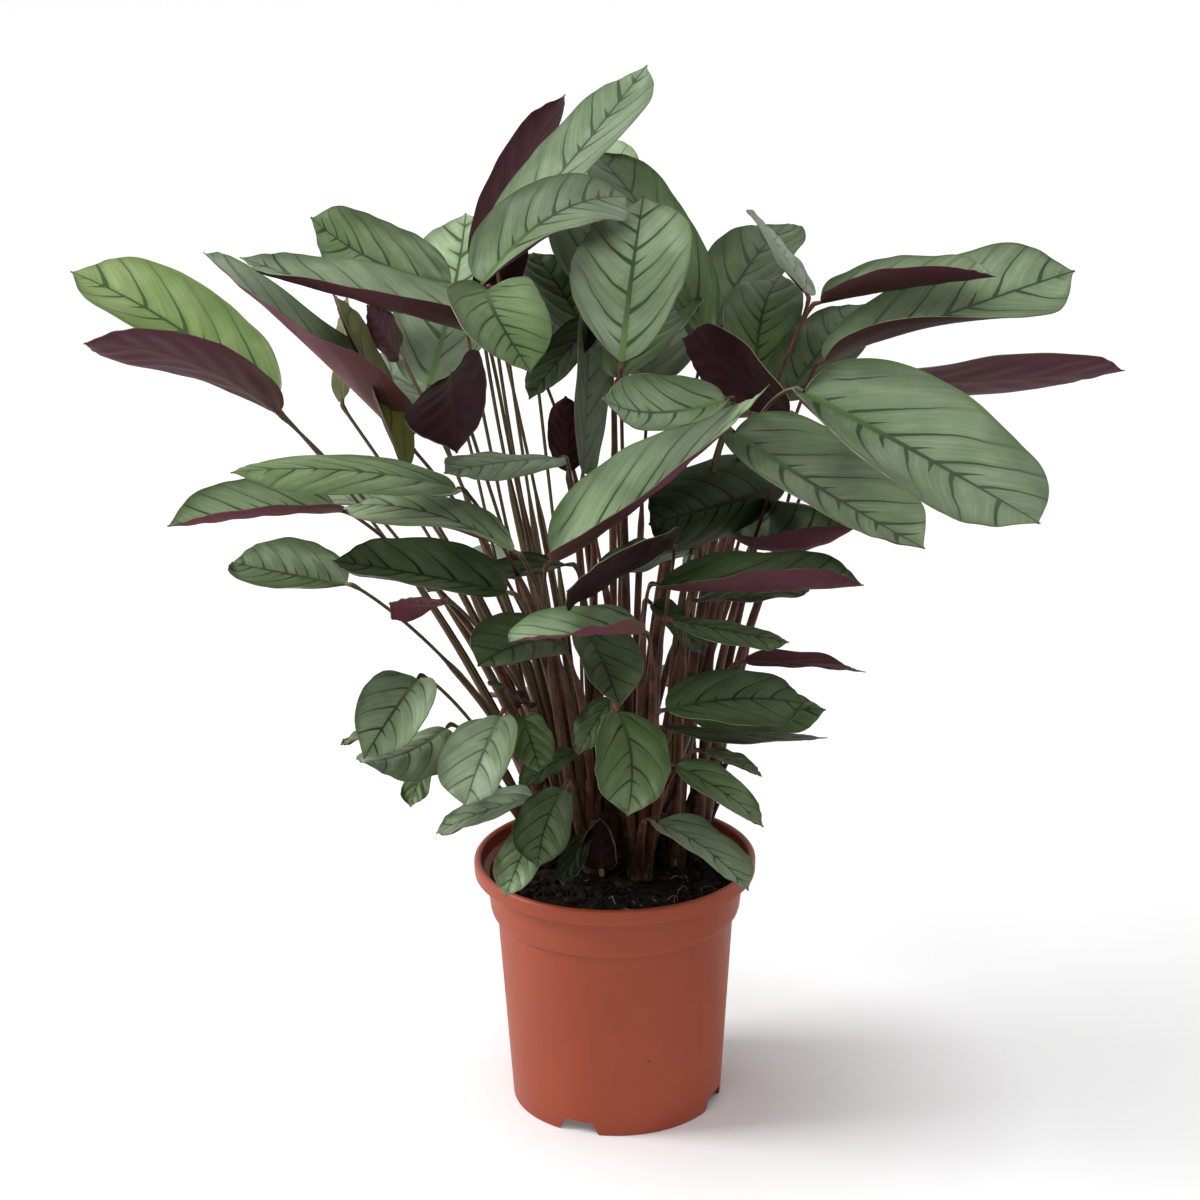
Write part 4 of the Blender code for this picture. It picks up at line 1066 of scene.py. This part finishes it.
# Colours of the underside: wine, brown, its darker streaks and the midrib.
UNDER_COLORS = [(0.105, 0.030, 0.044), (0.085, 0.042, 0.027), (0.042, 0.012, 0.016), (0.110, 0.060, 0.038)]
RIM_GREEN = (0.15, 0.19, 0.08)
RIM_BROWN = (0.10, 0.06, 0.04)


def outline_width(along):
    """Return a blade's width at a place along it, as a part of its full width."""
    oval = abs(2.0 * along ** 0.93 - 1.0)
    width = math.sqrt(max(0.0, 1.0 - oval ** 2.4))
    if along > TIP_START:
        width *= 1.0 - ((along - TIP_START) / (1.0 - TIP_START)) ** 4
    return width


def midrib_direction(leaf, along):
    """Return the direction of the midrib at a place along a blade that heads along X."""
    rise = math.radians(leaf.rise - leaf.droop * along)
    turn = math.radians(leaf.sway * along)
    return Vector((math.cos(rise) * math.cos(turn), math.cos(rise) * math.sin(turn), math.sin(rise)))


def blade_frames(leaf, stations):
    """Return the midrib point, side and upward directions at each station of a blade."""
    point = Vector((0.0, 0.0, 0.0))
    frames = []
    previous = stations[0]
    for along in stations:
        middle = (along + previous) / 2
        point = point + midrib_direction(leaf, middle) * leaf.length * (along - previous)
        previous = along
        direction = midrib_direction(leaf, along)
        turn = math.radians(leaf.sway * along)
        level_side = Vector((-math.sin(turn), math.cos(turn), 0.0))
        level_up = direction.cross(level_side)
        roll = math.radians(leaf.roll + leaf.twist * along)
        side = level_side * math.cos(roll) + level_up * math.sin(roll)
        up = level_up * math.cos(roll) - level_side * math.sin(roll)
        frames.append((point, side, up))
    return frames


def vein_phase(along, reach, side, seed, young):
    """Return the place between side veins, which is a half at a vein and whole in between."""
    veins = YOUNG_SIDE_VEINS if young else SIDE_VEINS
    curve = YOUNG_VEIN_CURVE if young else VEIN_CURVE
    sweep = VEIN_SWEEP * reach + curve * reach * reach
    return (along - sweep) * veins + side * SIDE_OFFSET + seed * SEED_SHIFT


def shape_blade(name, leaf, seed):
    """A flat grid that is cut to the leaf's outline, bent along its midrib and pleated."""
    bpy.ops.mesh.primitive_grid_add(x_subdivisions=LONG_STEPS, y_subdivisions=WIDE_STEPS, size=2.0)
    blade = bpy.context.object
    blade.name = name
    mesh = blade.data
    mesh.uv_layers[0].name = "blade"
    mesh.uv_layers.new(name="rim")
    stations = [0.5 - 0.5 * math.cos(math.pi * step / LONG_STEPS) for step in range(LONG_STEPS + 1)]
    frames = blade_frames(leaf, stations)
    turn = Matrix.Rotation(math.radians(leaf.heading), 3, "Z")
    young = leaf.base[2] < YOUNG_HEIGHT
    places = []
    for vertex in mesh.vertices:
        step = round((vertex.co.x + 1.0) / 2.0 * LONG_STEPS)
        across = vertex.co.y
        along = stations[step]
        point, side, up = frames[step]
        width = outline_width(along)
        nibbles = noise.noise(Vector((along * 9.0, math.copysign(3.0, across), seed * 50.0)))
        ragged = 1.0 + RAGGED_EDGE * nibbles
        half_width = max(LEAST_HALF_WIDTH, leaf.width / 2 * width * ragged)
        cup = math.radians(leaf.cup + (leaf.tip_cup - leaf.cup) * along)
        if abs(cup) < 0.01:
            cup = 0.01
        sideways = half_width * math.sin(cup * across) / cup
        upwards = half_width * (1.0 - math.cos(cup * across)) / cup
        reach = abs(across) * width
        phase = vein_phase(along, reach, 1.0 if across > 0.0 else 0.0, seed, young)
        pleat = math.cos(math.tau * phase) * PLEAT_HEIGHT * math.sin(math.pi * min(1.0, 1.2 * reach))
        flutter = noise.noise(Vector((along * 4.5, across * 1.5, seed * 50.0)))
        wave = flutter * EDGE_WAVE * 2.0 * across * across
        crease_side = math.exp(-(half_width * across / CREASE_WIDTH) ** 2)
        crease = -CREASE_DEPTH * crease_side * (1.0 - along)
        lift = upwards + (pleat + wave) * min(1.0, 3.0 * width) + crease
        vertex.co = Vector(leaf.base) + turn @ (point + side * sideways + up * lift)
        places.append((along, across, reach * (1.0 if across > 0.0 else -1.0)))
    for loop in mesh.loops:
        along, across, reach = places[loop.vertex_index]
        mesh.uv_layers["blade"].data[loop.index].uv = (along, 0.5 + 0.5 * reach)
        mesh.uv_layers["rim"].data[loop.index].uv = (abs(across), seed + (1.0 if young else 0.0))
    return blade


def herringbone_group():
    """Node group: the vein pattern, from the blade's own map, as masks and a height."""
    group = bpy.data.node_groups.new("herringbone", "ShaderNodeTree")
    for socket in ("Blade", "Rim", "Place"):
        group.interface.new_socket(socket, in_out="INPUT", socket_type="NodeSocketVector")
    for socket in ("Veins", "Midrib", "Margin", "Border", "Streaks", "Halo", "Height"):
        group.interface.new_socket(socket, in_out="OUTPUT", socket_type="NodeSocketFloat")
    given = make_node(group, "NodeGroupInput")
    result = make_node(group, "NodeGroupOutput")

    along, blade_side = split_vector(group, given.outputs["Blade"])[:2]
    edge, seed_and_age = split_vector(group, given.outputs["Rim"])[:2]
    across = calculate(group, "MULTIPLY_ADD", blade_side, 2.0, -1.0)
    seed = calculate(group, "FRACT", seed_and_age)
    young = calculate(group, "FLOOR", seed_and_age)
    veins = calculate(group, "MULTIPLY_ADD", young, YOUNG_SIDE_VEINS - SIDE_VEINS, SIDE_VEINS)
    curve = calculate(group, "MULTIPLY_ADD", young, YOUNG_VEIN_CURVE - VEIN_CURVE, VEIN_CURVE)
    reach = calculate(group, "ABSOLUTE", across)
    side = calculate(group, "GREATER_THAN", across, 0.0)

    wobble = calculate(group, "SUBTRACT", add_noise(group, given.outputs["Place"], 38.0, 2.0), 0.5)
    bent = calculate(group, "MULTIPLY_ADD", wobble, 0.045, along)
    sweep = calculate(group, "MULTIPLY_ADD", reach, curve, VEIN_SWEEP)
    swept = calculate(group, "SUBTRACT", bent, calculate(group, "MULTIPLY", sweep, reach))
    shift = calculate(group, "MULTIPLY", seed, SEED_SHIFT)
    shift = calculate(group, "MULTIPLY_ADD", side, SIDE_OFFSET, shift)
    phase = calculate(group, "MULTIPLY_ADD", swept, veins, shift)

    def vein_set(offset, long_reach, reach_spread, width, only_some):
        """One set of side veins: wedges that narrow towards the margin and then fade."""
        moved = calculate(group, "ADD", phase, offset)
        cell = calculate(group, "FLOOR", moved)
        row = calculate(group, "MULTIPLY_ADD", side, 17.0, offset)
        dice = make_node(group, "ShaderNodeTexWhiteNoise", noise_dimensions="2D")
        feed(group, build_vector(group, cell, row, 0.0), dice.inputs["Vector"])
        luck = dice.outputs["Value"]
        middle = calculate(group, "SUBTRACT", calculate(group, "FRACT", moved), 0.5)
        away = calculate(group, "DIVIDE", calculate(group, "ABSOLUTE", middle), veins)
        ending = calculate(group, "MULTIPLY_ADD", luck, reach_spread, long_reach)
        spent = calculate(group, "DIVIDE", reach, ending)
        left = calculate(group, "MAXIMUM", calculate(group, "SUBTRACT", 1.0, spent), 0.0)
        weight = calculate(group, "MULTIPLY_ADD", luck, 0.9, 0.55)
        wedge = calculate(group, "MULTIPLY", calculate(group, "POWER", left, 1.8), width)
        wedge = calculate(group, "MULTIPLY", wedge, weight)
        inner = calculate(group, "MULTIPLY_ADD", wedge, 0.8, 0.0010)
        outer = calculate(group, "ADD", wedge, 0.0050)
        drawn = ramp_between(group, away, inner, outer, 1.0, 0.0)
        fade = ramp_between(group, spent, 0.70, 1.05, 1.0, 0.0)
        drawn = calculate(group, "MULTIPLY", drawn, fade)
        if only_some:
            chosen = calculate(group, "GREATER_THAN", luck, 0.62)
            drawn = calculate(group, "MULTIPLY", drawn, chosen)
        return drawn, away

    main_veins, away = vein_set(0.0, 0.74, 0.36, 0.0125, False)
    short_veins = vein_set(0.5, 0.04, 0.28, 0.0105, True)[0]
    side_veins = calculate(group, "MAXIMUM", main_veins, short_veins)
    before_tip = ramp_between(group, along, 0.90, 0.97, 1.0, 0.0)
    past_base = ramp_between(group, along, 0.03, 0.09, 0.0, 1.0)
    side_veins = calculate(group, "MULTIPLY", side_veins, calculate(group, "MULTIPLY", before_tip, past_base))

    taper = calculate(group, "MULTIPLY_ADD", along, -0.048, 0.052)
    rib_edge = calculate(group, "ADD", taper, 0.014)
    midrib = ramp_between(group, reach, taper, rib_edge, 1.0, 0.0)
    feed(group, side_veins, result.inputs["Veins"])
    feed(group, midrib, result.inputs["Midrib"])

    ragged = calculate(group, "MULTIPLY_ADD", wobble, 0.10, edge)
    feed(group, ramp_between(group, ragged, 0.945, 0.985), result.inputs["Margin"])
    drift = calculate(group, "SUBTRACT", add_noise(group, given.outputs["Place"], 22.0, 2.0), 0.5)
    border = ramp_between(group, calculate(group, "MULTIPLY_ADD", drift, 0.9, edge), 0.62, 1.02)
    shaded = calculate(group, "MULTIPLY_ADD", drift, 0.5, along)
    base_dark = ramp_between(group, shaded, 0.02, 0.34, 0.75, 0.0)
    feed(group, calculate(group, "MAXIMUM", border, base_dark), result.inputs["Border"])

    between_veins = calculate(group, "MULTIPLY", phase, 7.0)
    outwards = calculate(group, "MULTIPLY", reach, 1.5)
    own_streaks = calculate(group, "MULTIPLY", seed, 40.0)
    streaks = add_noise(group, build_vector(group, between_veins, outwards, own_streaks), 1.4, 4.0, 0.62)
    feed(group, streaks, result.inputs["Streaks"])
    halo = ramp_between(group, away, 0.008, 0.040, 1.0, 0.0)
    rib_halo = ramp_between(group, reach, 0.03, 0.16, 1.0, 0.0)
    feed(group, calculate(group, "MAXIMUM", halo, rib_halo), result.inputs["Halo"])

    sunk = calculate(group, "MAXIMUM", side_veins, midrib)
    feed(group, calculate(group, "MULTIPLY_ADD", sunk, -0.5, streaks), result.inputs["Height"])
    return group


herringbone = herringbone_group()


def place_herringbone(tree, place):
    """Put the vein pattern into a blade's material, and return its masks and the way along."""
    blade_map = make_node(tree, "ShaderNodeUVMap", uv_map="blade").outputs["UV"]
    rim_map = make_node(tree, "ShaderNodeUVMap", uv_map="rim").outputs["UV"]
    pattern = make_node(tree, "ShaderNodeGroup", node_tree=herringbone)
    feed(tree, blade_map, pattern.inputs["Blade"])
    feed(tree, rim_map, pattern.inputs["Rim"])
    feed(tree, place, pattern.inputs["Place"])
    return pattern.outputs, split_vector(tree, blade_map)[0]


def tinted(color, factor):
    """Return a colour made lighter or darker by a factor."""
    return (color[0] * factor, color[1] * factor, color[2] * factor, 1.0)


def upper_skin(name, colors, factor, sheen):
    """The upper side: silver between dark veins, a greener margin and faint streaks, made lighter or darker
    by a factor as painted light or painted shade.
    """
    silver, glow, vein, rib, margin = [tinted(color, factor) for color in colors]
    material, tree, shader, place = new_material(name)
    pattern, along = place_herringbone(tree, place)
    patches = add_noise(tree, place, 26.0, 3.0, 0.55)
    tint = mix_colors(tree, ramp_between(tree, patches, 0.35, 0.68), silver, glow)
    tint = mix_colors(tree, ramp_between(tree, pattern["Streaks"], 0.35, 0.70, 0.26, 0.0), tint, vein)
    rib_tint = mix_colors(tree, ramp_between(tree, along, 0.05, 0.55), rib, vein)
    layers = [("Halo", 0.18, vein), ("Border", 0.40, vein), ("Margin", 0.80, margin)]
    layers += [("Veins", 0.96, vein), ("Midrib", 0.96, rib_tint)]
    for mask, strength, color in layers:
        tint = mix_colors(tree, calculate(tree, "MULTIPLY", pattern[mask], strength), tint, color)
    coat(tree, shader, tint, ramp_between(tree, pattern["Streaks"], 0.3, 0.7, 0.50, 0.40), sheen)
    add_bump(tree, shader, pattern["Height"], 0.35, 0.0006)
    return material


def under_skin(name, factor, sheen):
    """The underside: wine red, duller and browner near the base, with a raised pale midrib, made lighter or
    darker by a factor as painted light or painted shade.
    """
    wine, brown, dark, rib = [tinted(color, factor) for color in UNDER_COLORS]
    material, tree, shader, place = new_material(name)
    pattern, along = place_herringbone(tree, place)
    patches = add_noise(tree, place, 30.0, 4.0, 0.6)
    fade = calculate(tree, "MULTIPLY_ADD", patches, 0.6, calculate(tree, "MULTIPLY", along, -0.7))
    tint = mix_colors(tree, ramp_between(tree, fade, -0.15, 0.40), wine, brown)
    tint = mix_colors(tree, ramp_between(tree, pattern["Streaks"], 0.40, 0.72, 0.35, 0.0), tint, dark)
    tint = mix_colors(tree, calculate(tree, "MULTIPLY", pattern["Midrib"], 0.7), tint, rib)
    coat(tree, shader, tint, 0.55, sheen)
    add_bump(tree, shader, pattern["Height"], -0.5, 0.0006)
    return material


# Painted light and shade: the pale and brighter skins are the silver made lighter, for blades that lie in
# shade; deep is the darker green of lower leaves, partly painted shade; dusk, shade and night are it darkened
# further, painted shade.
UPPER_SKINS = {
    "silver": upper_skin("blade_silver", SILVER, 1.0, 0.28),
    "pale": upper_skin("blade_pale_painted_light", SILVER, 1.38, 0.30),
    "fresh": upper_skin("blade_fresh", FRESH, 1.0, 0.26),
    "painted_bright": upper_skin("blade_bright", SILVER, 1.80, 0.30),
    "lime": upper_skin("blade_lime", LIME, 1.0, 0.26),
    "olive": upper_skin("blade_olive", OLIVE, 1.0, 0.18),
    "deep": upper_skin("blade_deep", DEEP, 1.0, 0.18),
    "dusk": upper_skin("blade_dusk_painted_shade", DEEP, 0.68, 0.15),
    "shade": upper_skin("blade_painted_shade", DEEP, 0.47, 0.10),
    "night": upper_skin("blade_night_painted_shade", DEEP, 0.26, 0.05),
}
# Painted light and shade: the lightest underside is the wine made lighter, a painted light; the two darkest
# are it darkened, painted shade.
UNDER_SKINS = {
    "painted_light_wine": under_skin("underside_rose", 1.75, 0.15),
    "wine": under_skin("underside_wine", 1.0, 0.15),
    "dark": under_skin("underside_painted_shade", 0.32, 0.05),
    "painted_shade_black": under_skin("underside_black", 0.14, 0.03),
}


def rim_skin(name, factor):
    """The thin rim of a blade: green that turns brown in places, made darker by a factor as painted shade."""
    material, tree, shader, place = new_material(name)
    patches = ramp_between(tree, add_noise(tree, place, 60.0), 0.4, 0.6)
    tint = mix_colors(tree, patches, tinted(RIM_GREEN, factor), tinted(RIM_BROWN, factor))
    coat(tree, shader, tint, 0.5)
    return material


LIGHT_RIM = rim_skin("blade_rim", 1.0)
# Painted shade: the rim of blades that lie in shade is darkened to a quarter.
PAINTED_SHADE_RIM = rim_skin("blade_rim_painted_shade", 0.25)

for shoot_name, shoot in SHOOTS.items():
    for number, leaf in enumerate(shoot.leaves + shoot.more_leaves, 1):
        blade = shape_blade(f"blade_{shoot_name}_{number}", leaf, growth.random())
        in_shade = leaf.tone in ("shade", "night") or leaf.under == "painted_shade_black"
        rim = PAINTED_SHADE_RIM if in_shade else LIGHT_RIM
        for skin in (UPPER_SKINS[leaf.tone], UNDER_SKINS[leaf.under], rim):
            blade.data.materials.append(skin)
        thickness = blade.modifiers.new("thickness", "SOLIDIFY")
        thickness.thickness = BLADE_THICKNESS
        thickness.offset = 0.0
        thickness.material_offset = 1
        thickness.material_offset_rim = 2
        apply_modifiers(blade)
        finish_mesh(blade, 60.0)
        if number <= len(shoot.leaves):
            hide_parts(f"leaf_{shoot_name}_{number}")
